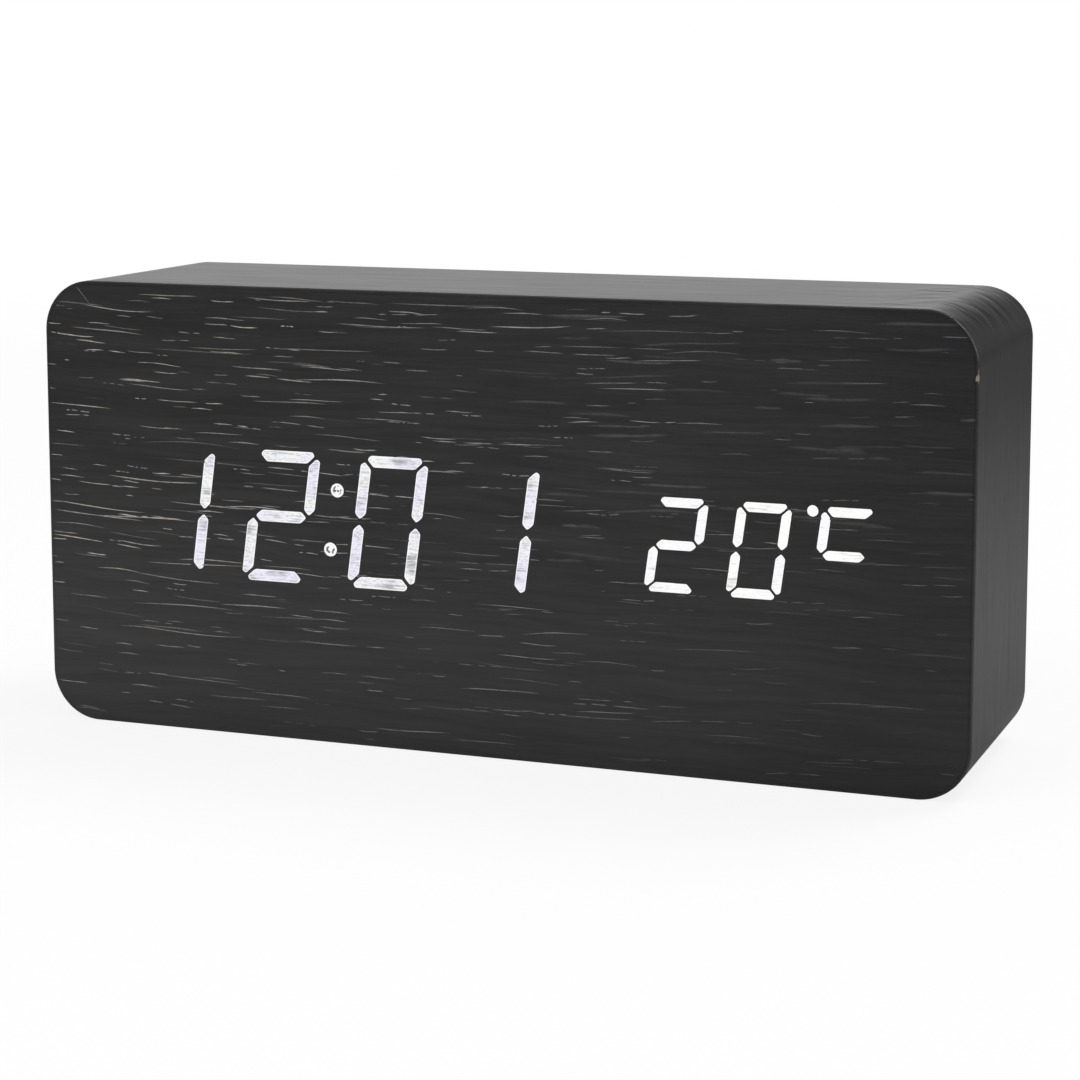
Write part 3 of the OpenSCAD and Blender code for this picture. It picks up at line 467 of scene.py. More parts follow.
# The rings joined by quads and closed at both ends, with the light windows cut through the front wall
def makeBlock(b):
    rings = blockRings(b)
    count = rings.shape[1]
    faces = tubeFaces(1, len(rings), count)
    piece = makePiece("woodBlock", rings, faces, "clock", nodes=["case_block"], slot="wood_core",
                      finish=filmFinish(film), sharp=28)
    mesh = piece.data
    mesh.materials.append(coreFinish(core))
    mesh.materials.append(sheetFinish)
    index = np.zeros(len(mesh.polygons), int)
    index[:2 * count] = 2  # the thin lip round the sheet is stained with it
    index[(len(rings) - 2) * count:] = 1  # the pocket and both ends are bare
    mesh.polygons.foreach_set("material_index", index)
    wrap = wrapCoords(rings)
    if mesh.polygons[0].vertices[0] != faces[0][0, 0]:  # the faces were turned over as a set
        wrap = wrap[:, ::-1]
    flat = np.zeros((len(mesh.loops), 2))
    flat[:wrap.size // 2] = wrap.reshape(-1, 2)
    mesh.uv_layers.new(name="wrap").data.foreach_set("uv", flat.ravel())
    sides = ("time", "temperature")
    cutters = [windowPrism("cutter" + side, side + "_reflector", window) for side in sides]
    for cutter in cutters:
        cut = piece.modifiers.new(cutter.name, "BOOLEAN")
        cut.object, cut.operation, cut.solver = cutter, "DIFFERENCE", "EXACT"
    bpy.context.view_layer.update()
    solved = piece.evaluated_get(bpy.context.evaluated_depsgraph_get())
    piece.data = bpy.data.meshes.new_from_object(solved)
    piece.modifiers.clear()
    for cutter in cutters:
        bpy.data.objects.remove(cutter)


makeBlock(block)
print("block made")


# Grain filler

flecks = dict(
    seed=11, lines=560, samples=15,
    grid=(30, 16), layers=6, fieldLow=(-77, 1), fieldSize=(152, 69),  # cells that the lines are strewn in
    density=(0.34, 0.30, 0.16),  # least, gain to the left and gain at the upper left
    denseX=(36, -16), denseZ=(11, 29),
    length=(0.9, 5.2, 19.0), spread=0.68, bow=0.012,  # shortest, middle and longest line
    tilt=(-2.8, 4.3, 0.4, 1.4),  # degrees at the left end, gain to the right and to the base, scatter
    tiltX=(-75, 30), tiltZ=(32, 12),
    # the lines are stronger towards the top and the left: partly the filler's own variation, partly painted
    # light
    strength=(1.6, 1.4), weakLow=0.64, weakRight=0.74, strongX=(56, 0), strongZ=(16, 34),
    width=(0.060, 0.102), slim=0.7, slimBelow=6,  # half of the widest place, and its share in short lines
    dashes=(1, 1, 1, 1, 1, 1, 2, 3), dashShare=(0.3, 1.5),  # pieces that a line breaks into
    gap=0.09, gapSpread=(0.3, 3),  # share lost between them
    inset=0.25, brim=0.8, shortest=0.5,  # margins at the sides, above and below, and the shortest dash
    wave=0.05, waveRate=3.1, waveBelow=3, blunt=0.4, swell=0.2, swellRate=5, hair=0.004,
    scratch=((-69.3, 70.1), (-66.9, 67.3)), scratchWidth=0.09, scratchPower=0.33,
    smudges=54, smudgeArea=((6, 28), (75, 69)), smudgeLength=(3.0, 15.0),
    smudgeWidth=(0.11, 0.30), smudgePower=(0.05, 0.17),
    face=0.004, step=0.003,  # the filler stands face to face + step on the sheet
    sunk=0.02, litSunk=1.5,  # depth of its underside and of its face in the digits, and the gain there
    ridge=0.1, softShare=0.45, fadeEnds=4, shadowGain=2.5,  # crown of the section, and how it is painted: the lower side and the underside are painted shadow
    warm=(0.84, 0.79, 0.73), cool=(0.22, 0.23, 0.265), coolPower=0.8,  # from the left to the right: partly the filler's own tint, partly painted light that is warmer and brighter at the left
    ground=(0.030, 0.030, 0.030), shade=(0.006, 0.006, 0.007), crumbs=0.40,
)


# A point lies in a triangle when the three cross products with its edges have one sign
def insideAny(points, node):
    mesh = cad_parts[node].data
    mesh.calc_loop_triangles()
    corner = np.zeros(len(mesh.vertices) * 3)
    mesh.vertices.foreach_get("co", corner)
    index = np.zeros(len(mesh.loop_triangles) * 3, int)
    mesh.loop_triangles.foreach_get("vertices", index)
    a, b, c = np.moveaxis(corner.reshape(-1, 3)[index.reshape(-1, 3)][..., [0, 2]] / mm, 1, 0)
    x, z = points[:, None, 0], points[:, None, 1]
    turn = [(q[:, 0] - p[:, 0]) * (z - p[:, 1]) - (q[:, 1] - p[:, 1]) * (x - p[:, 0])
            for p, q in ((a, b), (b, c), (c, a))]
    return ((np.min(turn, 0) > 0) | (np.max(turn, 0) < 0)).any(1)


# Middles of the lines: a random place in every cell of a grid, layer by layer, kept more often at the left
# and the top, and after them the soft wide smudges at the right
def fleckMiddles(f, rng):
    grid = np.stack(np.meshgrid(*map(np.arange, f["grid"]), indexing="ij"), -1).reshape(-1, 2)
    layers = [rng.permutation(grid) + rng.uniform(0, 1, grid.shape) for layer in range(f["layers"])]
    tries = np.concatenate(layers) * (np.array(f["fieldSize"]) / f["grid"]) + f["fieldLow"]
    left, high = ramp(tries[:, 0], *f["denseX"]), ramp(tries[:, 1], *f["denseZ"])
    least, toLeft, toUpperLeft = f["density"]
    want = least + toLeft * left + toUpperLeft * left * high
    middle = tries[rng.uniform(0, 1, len(tries)) < want][:f["lines"]]
    return np.concatenate([middle, rng.uniform(*f["smudgeArea"], (f["smudges"], 2))])


# Length, bow, slope, strength and half width of every line, at random and led by its place
def fleckLines(f, rng, middle):
    count, soft = len(middle), slice(f["lines"], None)
    x, z = middle.T
    low, mid, top = f["length"]
    whole = np.clip(mid * np.exp(rng.normal(0, f["spread"], count)), low, top)
    whole[soft] = rng.uniform(*f["smudgeLength"], f["smudges"])
    bow = rng.normal(0, f["bow"], count) * whole
    atLeft, toRight, toBase, scatter = f["tilt"]
    tilt = atLeft + toRight * ramp(x, *f["tiltX"]) + toBase * ramp(z, *f["tiltZ"])
    slope = np.tan(np.radians(tilt + rng.normal(0, scatter, count)))
    # painted light in part: stronger towards the top and the left
    byHeight = f["weakLow"] + (1 - f["weakLow"]) * ramp(z, *f["strongZ"])
    bySide = f["weakRight"] + (1 - f["weakRight"]) * ramp(x, *f["strongX"])
    power = rng.beta(*f["strength"], count) * byHeight * bySide
    power[soft] = rng.uniform(*f["smudgePower"], f["smudges"])
    slim = f["slim"] + (1 - f["slim"]) * ramp(whole, 0, f["slimBelow"])
    thick = rng.uniform(*f["width"], count) * slim
    thick[soft] = rng.uniform(*f["smudgeWidth"], f["smudges"])
    return whole, bow, slope, power, thick


# Dashes of every line: the stretch from -1 to 1 is cut into random shares, which lose a little at both ends
def fleckDashes(f, rng, count):
    parts = np.array(f["dashes"])[rng.integers(0, len(f["dashes"]), count)]
    parts[f["lines"]:] = 1
    line = np.repeat(np.arange(count), parts)
    weight = rng.uniform(*f["dashShare"], len(line))
    share = 2 * weight / np.bincount(line, weight)[line]
    begin = np.cumsum(share) - share
    start = begin - begin[np.cumsum(parts) - parts][line] - 1
    loss = f["gap"] * share * (parts[line] > 1) * rng.uniform(*f["gapSpread"], len(line))
    return line, (start + loss / 2)[:, None] + np.stack([0 * share, share - loss], -1)


# How far out the sheet reaches at a height: half its width, less what its round corner takes off there
def sheetReach(height, inset):
    corner = block["corner"] - inset
    drop = np.clip(np.abs(height - midZ) - (midZ - block["corner"]), 0, corner)
    return block["width"] / 2 - block["corner"] + np.sqrt(corner ** 2 - drop ** 2)


# Paths of all dashes and of the scratch, with s from -1 to 1 along each. Height is slope times place plus
# bow(1 - place^2) and a slow sine; half width is thick(1 - s^2)^blunt with a slow swell.
def fleckPaths(f, rng, s):
    middle = fleckMiddles(f, rng)
    lines = fleckLines(f, rng, middle)
    line, ends = fleckDashes(f, rng, len(middle))
    whole, bow, slope, power, thick = (values[line, None] for values in lines)
    half, placeX, placeZ = whole / 2, middle[line, :1], middle[line, 1:]
    reach = sheetReach(placeZ + ends.mean(1, keepdims=True) * half * slope, f["inset"])
    ends = (np.clip(placeX + ends * half, -reach, reach) - placeX) / half
    span = np.ptp(ends, axis=1)[:, None]
    along = ends[:, :1] + span * (s + 1) / 2
    phase = rng.uniform(0, 6.28, len(line))[:, None]  # about a full turn
    x = placeX + along * half
    z = placeZ + along * (half * slope) + bow * (1 - along ** 2)
    z = z + f["wave"] * np.sin(f["waveRate"] * along + phase) * ramp(half, 0, f["waveBelow"])
    swell = 1 + f["swell"] * np.sin(f["swellRate"] * s + phase)
    wide = thick * (1 - s ** 2) ** f["blunt"] * swell + f["hair"]
    scratch = np.linspace(*f["scratch"], f["samples"]).T
    x, z = np.append(x, scratch[:1], 0), np.append(z, scratch[1:], 0)
    wide = np.append(wide, np.full((1, f["samples"]), f["scratchWidth"]), 0)
    power = np.append(power, [[f["scratchPower"]]], 0)
    long = np.append((span * half)[:, 0] > f["shortest"], True)
    keep = long & (np.abs(z - midZ) < midZ - f["brim"]).all(1)
    return x[keep], z[keep], wide[keep], power[keep]


# Pale filler in the pores: the tone painted on each mark, broken up by a fine noise
def fleckFinish(f):
    finish, coords = newFinish("grainFiller")
    tone = addNode(coords, "VertexColor", layer_name="tone")["Color"]
    crumbs = noise(coords, size=(0.9, 1, 0.4))
    crumbs = remap(crumbs, low=0.42, high=0.66, toHigh=f["crumbs"])
    return dress(finish, blend(crumbs, tone, veneer["tone"]), rough=0.6, gloss=0.25)


# Random lines of pale filler: every path is a thin bar with three points on its face and one below
def makeFlecks(f):
    rng = np.random.default_rng(f["seed"])
    s = np.linspace(-1, 1, f["samples"])[None]
    x, z, wide, power = fleckPaths(f, rng, s)
    count = len(x)
    rise = f["face"] + f["step"] * rng.uniform(0, 1, (count, 1))
    edges = [np.stack([x.ravel(), (z + side * wide).ravel()], -1) for side in (-1, 0, 1)]
    lit = [insideAny(edge, node) for node in ("time_windows", "temperature_windows") for edge in edges]
    lit = np.any(lit, 0).reshape(x.shape)
    front = frontY + np.where(lit, f["sunk"], -rise)
    back = frontY + np.where(lit, f["litSunk"], 1.0) * f["sunk"]
    rows = ((front, -1.0), (front, f["ridge"]), (front, 1.0), (back, 0.0))
    ring = np.stack([np.stack([x, y, z + side * wide], -1) for y, side in rows], 2)
    piece = makePiece("grainFlecks", ring * mm, tubeFaces(count, f["samples"], len(rows)), "clock",
                      slot="wood_veneer", finish=fleckFinish(f))
    right = ramp(x.mean(1), -block["width"] / 2, block["width"] / 2) ** f["coolPower"]
    warm, cool, ground, shade = (np.array(f[tone]) for tone in ("warm", "cool", "ground", "shade"))
    hue = warm + (cool - warm) * right[:, None]
    power = (power * (1 - np.abs(s) ** f["fadeEnds"]))[..., None]
    bright = ground + power * (hue[:, None] - ground)
    # painted shadow: the lower side and the underside of every line are darker than the sheet
    dark = ground + np.minimum(1, f["shadowGain"] * power) * (shade - ground)
    soft = ground + f["softShare"] * (bright - ground)
    paint = np.ones((count, f["samples"], len(rows), 4))
    paint[..., :3] = np.stack([dark, bright, soft, dark], 2)
    tones = piece.data.color_attributes.new("tone", "FLOAT_COLOR", "POINT")
    tones.data.foreach_set("color", paint.ravel())


makeFlecks(flecks)
print("veneer marks made")


# Push buttons

button = dict(
    proud=0.9, coverWall=2.6, seatGap=0.1, flange=1.0, flangeGrow=1.2, stem=1.6, dish=0.35,
    rimEase=0.45, stemEase=0.15, flangeEase=0.1, skirtGuard=0.2, rimGuard=0.05, pole=0.02,
    arcPoints=9, segments=64,
    look=dict(tone=(0.021, 0.021, 0.022), rough=0.34, reliefSize=0.4),
)


# Turned shape: every profile point (radius, height) is carried round the axis by cosine and sine
def turned(profile, segments):
    turn = np.linspace(0, 2 * np.pi, segments, endpoint=False)
    radius, height = profile[:, :1], profile[:, 1:]
    return np.stack([radius * np.cos(turn), height + 0 * turn, radius * np.sin(turn)], -1)


# Cap profile: stem, flange, straight skirt, quarter round of radius rimEase, then a dish that falls as the
# square of the radius
def buttonProfile(low, high, b):
    top = (high.y - low.y) / mm
    radius = (high.x - low.x) / mm / 2 - b["flangeGrow"]
    rim = radius - b["rimEase"]
    flangeTop = top - b["proud"] - b["coverWall"] - b["seatGap"]
    flangeLow = flangeTop - b["flange"]
    outer, ease, stem = radius + b["flangeGrow"], b["flangeEase"], b["stem"]
    lower = [
        (b["pole"], 0), (stem - b["stemEase"], 0), (stem, b["stemEase"]), (stem, flangeLow),
        (outer - ease, flangeLow), (outer, flangeLow + ease),
        (outer, flangeTop - ease), (outer - ease, flangeTop),
        (radius, flangeTop), (radius, flangeTop + b["skirtGuard"]),
        (radius, top - b["rimEase"] - b["rimGuard"]),
    ]
    edge = [rim, top - b["rimEase"]] + b["rimEase"] * onCircle(np.linspace(0, 90, b["arcPoints"]))
    inner = np.linspace(rim - b["rimGuard"], b["pole"], b["arcPoints"])
    dish = np.stack([inner, top - b["dish"] * (1 - (inner / rim) ** 2)], -1)
    return np.concatenate([lower, edge, dish])


buttonFinish = plainFinish("buttonSatin", button["look"])
for name in ("set", "up", "down"):
    node = name + "_button"
    low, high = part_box(node)
    profile = buttonProfile(low, high, button)
    middle = np.array([(low.x + high.x) / 2, low.y, (low.z + high.z) / 2])
    points = turned(profile, button["segments"]) * mm + middle
    makePiece(name + "Cap", points, tubeFaces(1, len(profile), button["segments"]), node,
              nodes=[node], slot="button_abs", finish=buttonFinish, sharp=40)
print("buttons made")


# Battery bay

bay = dict(middleX=-31.95, length=50.5, plate=0.4, cellY=12.15, cellZ=(24.5, 35.5, 46.5))
spring = dict(
    wire=0.6, turns=4, pitch=1.0, wide=3.0, narrow=1.6,
    lift=0.55, slack=0.25,  # start and extra climb, as shares of the wire
    steps=160, sides=14, places=((-1, 1), (1, 0), (1, 2)),  # end and row of the bay
    look=dict(tone=(0.66, 0.66, 0.67), metal=1.0, rough=0.24, relief=0.004, drift=0.12, driftSize=3),
)
lead = dict(
    width=1.3, tabY=2.9, runY=0.5, boardY=8.0, boardX=5.2, bend=1.6, bendPoints=10, sides=18,
    lean=(0.12, 0.08, 1.0),  # no run of a lead lies along this
)
# piece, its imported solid, material slot, end and row of the bay, rise at the board, finish and its tone
leadRows = (
    ("redLead", "red_lead", "red", -1, 0, -6, "redInsulation", (0.42, 0.022, 0.018)),
    ("blackLead", "black_lead", "black_lead", 1, 2, 6, "blackInsulation", (0.016, 0.016, 0.018)),
)
cell = dict(
    radius=5.2, length=44.5, segments=72, pole=0.02, easePoints=6,
    nub=1.9, nubEase=0.35, top=1.0, shoulder=1.05, shoulderEase=0.75, baseEase=0.5, baseSunk=0.25,
    crimp=((1.5, 1.0), (1.3, 1.25), (1.1, 1.05)),  # in from the radius, and along the axis
    can=(2.2, 1.0), base=(1.2, 1.35),  # rings in from both ends, and the base's step in from the radius
    sleeve=((0.40, 0.42, 0.44), (0.47, 0.49, 0.51)), metal=(0.62, 0.62, 0.63),
    bare=((1.75, 1.65), (43.9, 44.0)),  # the bare ends and the ring fade in between these places
    ring=((4.9, 5.0), (7.1, 7.0)), ringTone=(0.055, 0.060, 0.070), rough=(0.24, 0.36), relief=0.01,
)


# Sweep of a circle: at every point of the path the ring lies between two normals square to the tangent
def sweep(path, radius, sides, lean):
    tangent = unit(np.gradient(path, axis=0))
    normal = unit(np.cross(tangent, lean))
    other = np.cross(tangent, normal)
    turn = np.linspace(0, 2 * np.pi, sides, endpoint=False)[None, :, None]
    return path[:, None] + radius * (np.cos(turn) * normal[:, None] + np.sin(turn) * other[:, None])


# Carries a shape that starts at 0 along X to one end of the bay, mirrored at the right end
def toBayEnd(shape, side, row):
    start = bay["middleX"] + side * (bay["length"] / 2 - bay["plate"])
    return shape * [-side, 1, 1] + [start, bay["cellY"], bay["cellZ"][row]]


# Conical springs: the radius falls evenly from wide to narrow while the wire climbs one pitch a turn
def makeSprings(f, finish):
    t = np.linspace(0, 1, f["steps"])
    turn = 2 * np.pi * f["turns"] * t
    radius = f["wide"] + (f["narrow"] - f["wide"]) * t
    climb = f["wire"] * f["lift"] + f["pitch"] * f["turns"] * t + f["slack"] * f["wire"] * (t - 0.5)
    path = np.stack([climb, radius * np.sin(turn), radius * np.cos(turn)], -1)
    tubes = []
    for side, row in f["places"]:
        ring = sweep(toBayEnd(path, side, row), f["wire"] / 2, f["sides"], [1.0, 0.0, 0.0])
        tubes.append(ring if side < 0 else ring[:, ::-1])  # the mirrored ones turn the other way
    faces = tubeFaces(len(tubes), f["steps"], f["sides"])
    makePiece("contactSprings", np.array(tubes) * mm, faces, "clock",
              nodes=["contact_springs"], slot="nickel", finish=finish, sharp=60)


# Lead: straight runs joined by quadratic curves that start one bend before each corner
def leadPath(corners, bend, points):
    corners = np.array(corners, float)
    at = corners[1:-1]
    a = at + bend * unit(corners[:-2] - at)
    b = at + bend * unit(corners[2:] - at)
    t = np.linspace(0, 1, points)[None, :, None]
    curve = (1 - t) ** 2 * a[:, None] + 2 * t * (1 - t) * at[:, None] + t ** 2 * b[:, None]
    return np.concatenate([corners[:1], curve.reshape(-1, 3), corners[-1:]])


# A lead runs from its contact plate's tab, behind the bay, to the control board
def makeLead(f, name, node, slot, side, row, rise, finishName, tone):
    x = bay["middleX"] + side * (bay["length"] / 2 - bay["plate"] / 2)
    z, end = bay["cellZ"][row], midZ + rise
    path = leadPath([
        (x, f["tabY"], z), (x, f["runY"], z), ((x + f["boardX"]) / 2, f["runY"], (z + end) / 2),
        (f["boardX"], f["runY"], end), (f["boardX"], f["boardY"], end),
    ], f["bend"], f["bendPoints"])
    ring = sweep(path, f["width"] / 2, f["sides"], f["lean"])
    finish = plainFinish(finishName, dict(tone=tone, rough=0.42, relief=0.008))
    makePiece(name, ring * mm, tubeFaces(1, len(path), f["sides"]), "clock",
              nodes=[node], slot=slot, finish=finish, sharp=60)


# Cell profile, radius against length: nub, recessed top, crimped shoulder, wrapped can and rolled base
def cellProfile(c):
    radius, length = c["radius"], c["length"]
    arc = onCircle(np.linspace(0, 90, c["easePoints"]))
    outward = np.stack([arc[:, 1], 1 - arc[:, 0]], -1)
    nub = [c["nub"] - c["nubEase"], 0] + c["nubEase"] * outward
    crimp = [(c["nub"], c["top"])] + [(radius - inset, along) for inset, along in c["crimp"]]
    shoulder = [radius - c["shoulderEase"], c["shoulder"]] + c["shoulderEase"] * outward
    can = [(radius, c["can"][0]), (radius, length - c["can"][1])]
    roll = [radius - c["baseEase"], length - c["baseEase"]] + c["baseEase"] * arc
    floor = length - c["baseSunk"]
    base = [(radius - c["base"][0], length), (radius - c["base"][1], floor), (c["pole"], floor)]
    return np.concatenate([[(c["pole"], 0)], nub, crimp, shoulder, can, roll, base])


# Wrapped cell: bare metal at the ends and one dark ring on a grey sleeve, by distance along the axis
def cellFinish(c):
    finish, coords = newFinish("wrappedCell")
    along = addNode(coords, "Attribute", attribute_name="alongCell")["Fac"]
    scuff = noise(coords, size=(9, 1.2, 1.2), detail=4)
    ring = times(*(remap(along, *places) for places in c["ring"]))
    sleeve = blend(remap(scuff, *mostNoise), *c["sleeve"])
    sleeve = blend(ring, sleeve, c["ringTone"])
    metal = calc("MAXIMUM", *(remap(along, *places) for places in c["bare"]))
    return dress(
        finish, blend(metal, sleeve, c["metal"]), remap(scuff, *mostNoise, *c["rough"]),
        bump(scuff, c["relief"]), metal=metal,
    )


# Three turned cells side by side, every second one the other way round
def makeCells(c):
    profile = cellProfile(c)
    shape = turned(profile, c["segments"])[..., [1, 0, 2]]  # the axis lies along X
    cells = []
    for row in range(len(bay["cellZ"])):
        side = -1 if row % 2 == 0 else 1
        ring = toBayEnd(shape, side, row)
        cells.append(ring if side < 0 else ring[:, ::-1])  # the mirrored one turns the other way
    faces = tubeFaces(len(cells), len(profile), c["segments"])
    piece = makePiece("batteryCells", np.array(cells) * mm, faces, "clock",
                      nodes=["battery_cells"], slot="cell", finish=cellFinish(c), sharp=40)
    along = np.tile(np.repeat(profile[:, 1], c["segments"]), len(cells))
    piece.data.attributes.new("alongCell", "FLOAT", "POINT").data.foreach_set("value", along)


nickelFinish = plainFinish("nickelPlate", spring["look"])
makeSprings(spring, nickelFinish)
for row in leadRows:
    makeLead(lead, *row)
makeCells(cell)
print("battery bay made")


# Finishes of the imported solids

plainLooks = dict(
    milkyFilm=dict(tone=(0.78, 0.81, 0.84), drift=0.06, rough=0.5, relief=0.004),
    whiteReflector=dict(tone=(0.82, 0.82, 0.79), drift=0.08, rough=0.4),
    phosphorChip=dict(tone=(0.86, 0.7, 0.2), drift=0.2, driftSize=0.5, rough=0.35, relief=0.01),
    platedScrew=dict(tone=(0.5, 0.5, 0.51), metal=1.0, reliefSize=(0.2, 1.5, 0.2)),
    blackScrew=dict(tone=(0.26, 0.26, 0.27), metal=1.0, reliefSize=0.3),
    packageBlack=dict(tone=(0.014, 0.014, 0.015), drift=0.3, driftSize=2, rough=0.55,
                      relief=0.012, reliefSize=0.25),
    jackBlack=dict(tone=(0.016, 0.016, 0.017), drift=0.2, relief=0.005),
    ivorySocket=dict(tone=(0.74, 0.68, 0.54), drift=0.1, rough=0.45, relief=0.008),
    plungerGrey=dict(tone=(0.62, 0.58, 0.48), drift=0.1, rough=0.45),
    goldPin=dict(tone=(0.72, 0.52, 0.22), metal=1.0, drift=0.1, rough=0.22, relief=0.003),
    crystalCan=dict(tone=(0.58, 0.59, 0.60), metal=1.0, drift=0.1, relief=0.004, reliefSize=(2.0, 0.2, 0.2)),
    sensorBead=dict(tone=(0.020, 0.017, 0.015), drift=0.3, driftSize=1, rough=0.4, relief=0.02),
    mouldedBlack=dict(tone=(0.038, 0.038, 0.039), drift=0.36, driftSize=16, rough=0.44,
                      litTops=0.7, relief=0.12),  # fine spark-eroded texture, with a painted highlight on its tops
)
board = dict(
    cells=420, brick=(1.6, 0.55), mortar=0.1,  # cells in a metre; the rest in cells
    mask=((0.016, 0.085, 0.030), (0.022, 0.115, 0.042)), copper=(0.05, 0.20, 0.085), copperShare=0.75,
    rough=(0.26, 0.38), relief=0.03,
)
ribbon = dict(
    pitch=1.27, grooveShade=(0.16, 0.165, 0.17), crest=(0.32, 0.325, 0.335),
    dust=(0.24, 0.24, 0.25), dustShare=0.3, rough=0.45, relief=0.25,
)


# Circuit board: green mask over a maze of raised copper runs, drawn where a stepped cell pattern changes
def boardFinish(look):
    finish, coords = newFinish("greenBoard")
    place = {"Vector": coords, "Scale": (look["cells"],) * 3, "Rotation": (math.radians(90), 0, 0)}
    grid = addNode(coords, "Mapping", place)[0]
    bricks = {"Vector": grid, "Scale": 1.0, "Mortar Size": look["mortar"]}
    bricks["Brick Width"], bricks["Row Height"] = look["brick"]
    runs = addNode(coords, "TexBrick", bricks, offset=0.37, squash=1.8, squash_frequency=3)["Fac"]
    speck = noise(coords, size=1.6)
    mask = blend(remap(speck, *mostNoise), *look["mask"])
    tone = blend(times(runs, look["copperShare"]), mask, look["copper"])
    rough = remap(speck, *mostNoise, *look["rough"])
    return dress(finish, tone, rough, bump(runs, look["relief"]))


# Flat cable: round wires side by side, as the size of a sine across the width in height and in tone, with
# painted shade in the grooves
def cableFinish(look):
    finish, coords = newFinish("ribbonCable")
    across = times(axes(coords)[0], math.pi / (look["pitch"] * mm))
    wires = calc("ABSOLUTE", calc("SINE", across))
    dust = times(noise(coords, size=4), look["dustShare"])
    # painted shade: the grooves between the wires are darker than their crests
    tone = blend(dust, blend(wires, look["grooveShade"], look["crest"]), look["dust"])
    return dress(finish, tone, look["rough"], bump(wires, look["relief"]))


plain = {name: plainFinish(name, look) for name, look in plainLooks.items()}
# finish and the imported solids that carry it
solidFinishes = (
    (sheetFinish, "front_veneer"),
    (plain["milkyFilm"], "time_diffuser", "temperature_diffuser"),
    (plain["whiteReflector"], "time_reflector", "temperature_reflector"),
    (plain["phosphorChip"], "time_leds", "temperature_leds"),
    (boardFinish(board), "display_board", "control_board"),
    (cableFinish(ribbon), "flat_cable"),
    (plain["ivorySocket"], "cable_sockets"),
    (plain["platedScrew"], "display_board_screws", "control_board_screws"),
    (plain["packageBlack"], "clock_chip", "switch_bodies", "buzzer"),
    (plain["crystalCan"], "quartz_crystal"),
    (plain["sensorBead"], "temperature_sensor"),
    (plain["goldPin"], "jack_pin"),
    (plain["plungerGrey"], "set_plunger", "up_plunger", "down_plunger"),
    (nickelFinish, "contact_plates"),
)
for finish, *nodes in solidFinishes:
    for node in nodes:
        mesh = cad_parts[node].data
        mesh.materials.clear()
        mesh.materials.append(finish)
print("finishes given to", sum(len(row) - 1 for row in solidFinishes), "solids")


# Eased and rimmed copies

digits = dict(
    edge=0.8, edgeTone=(0.98, 0.98, 0.99), streaks=0.55, fine=0.7,  # of the rim, and the grain's shares
    dotRing=(1.3, 1.2), dotTone=(0.90, 0.90, 0.90), dotCore=(0.85, 0.6), speckTone=(0.07, 0.07, 0.07),
    sheet=(0.05, 0.05, 0.05, 1.0), strength=1.0,
)
timeGlow = dict(
    dim=(0.33, 0.33, 0.35), cool=(0.82, 0.805, 0.92), warm=(0.87, 0.875, 0.88), hold=(0.35, 0.52),
    specks=0.5, rim=0.25, dots=((-24.20, 39.9), (-25.46, 30.6)),  # x and z of the colon
)
temperatureGlow = dict(
    dim=(0.48, 0.48, 0.49), cool=(0.93, 0.93, 0.95), warm=(0.97, 0.97, 0.95), hold=(0.32, 0.48),
    specks=0.22, rim=0.18, dots=(),
)
# piece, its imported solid, body, material slot, width of the eased edge, finish
backPieces = (
    ("rearCover", "rear_cover", "clock", "black_abs", 0.2, plain["mouldedBlack"]),
    ("batteryDoor", "battery_door", "battery_door", "black_abs", 0.2, plain["mouldedBlack"]),
    ("coverScrews", "cover_screws", "clock", "dark_steel", 0.12, plain["blackScrew"]),
    ("powerJack", "power_jack", "clock", "black_part", 0.15, plain["jackBlack"]),
)


# Lit places: white light that the sheet's grain holds back in fine streaks and soft clouds, with a tint
def litFinish(name, look):
    finish, coords = newFinish(name)
    streak = noise(coords, size=(4.5, 2, 0.26), detail=5, roughness=0.68)
    cloud = noise(coords, size=(3.2, 2, 2.2))
    tint = noise(coords, size=(9, 2, 8), detail=1)
    fine = noise(coords, size=(0.5, 1, 0.15), detail=2)
    specks = remap(noise(coords, size=(0.42, 1, 0.42), detail=1), low=0.53, high=0.59)
    rim = addNode(coords, "Attribute", attribute_name="rim")["Fac"]
    bright = blend(remap(tint, low=0.42, high=0.58), look["cool"], look["warm"])
    hold = remap(weigh(streak, look["streaks"], cloud), *look["hold"])
    glow = blend(hold, look["dim"], bright)
    fine = weigh(fine, look["fine"], cloud)
    fine = remap(fine, low=0.52, high=0.62, toHigh=look["specks"])
    glow = blend(fine, glow, look["dim"])
    rim = remap(rim, low=0.15, high=0.85, toHigh=look["edge"])
    glow = blend(rim, glow, look["edgeTone"])
    for x, z in look["dots"]:
        away = vectorCalc("LENGTH", vectorCalc("SUBTRACT", coords, metres((x, frontY, z))))
        glow = blend(remap(away, *metres(look["dotRing"])), glow, look["dotTone"])
        inner = remap(away, *metres(look["dotCore"]))
        glow = blend(times(inner, specks), glow, look["speckTone"])
    light = {"Emission Color": glow, "Emission Strength": look["strength"]}
    feed(finish.node_tree.nodes["Principled BSDF"], light)
    return dress(finish, look["sheet"], rough=0.5, gloss=0.2)


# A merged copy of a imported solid, its flat places made whole faces
def mergedShell(node):
    shell = bmesh.new()
    shell.from_mesh(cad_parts[node].data)
    bmesh.ops.remove_doubles(shell, verts=shell.verts, dist=0.0002 * mm)
    bmesh.ops.dissolve_limit(shell, angle_limit=math.radians(0.3), verts=shell.verts, edges=shell.edges)
    return shell


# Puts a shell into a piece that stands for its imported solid
def placeShell(shell, name, node, body, slot, finish):
    mesh = bpy.data.meshes.new(name)
    shell.to_mesh(mesh)
    shell.free()
    mesh.materials.clear()  # every face goes back to the first material
    return addPiece(name, mesh, body, nodes=[node], slot=slot, finish=finish, sharp=20)


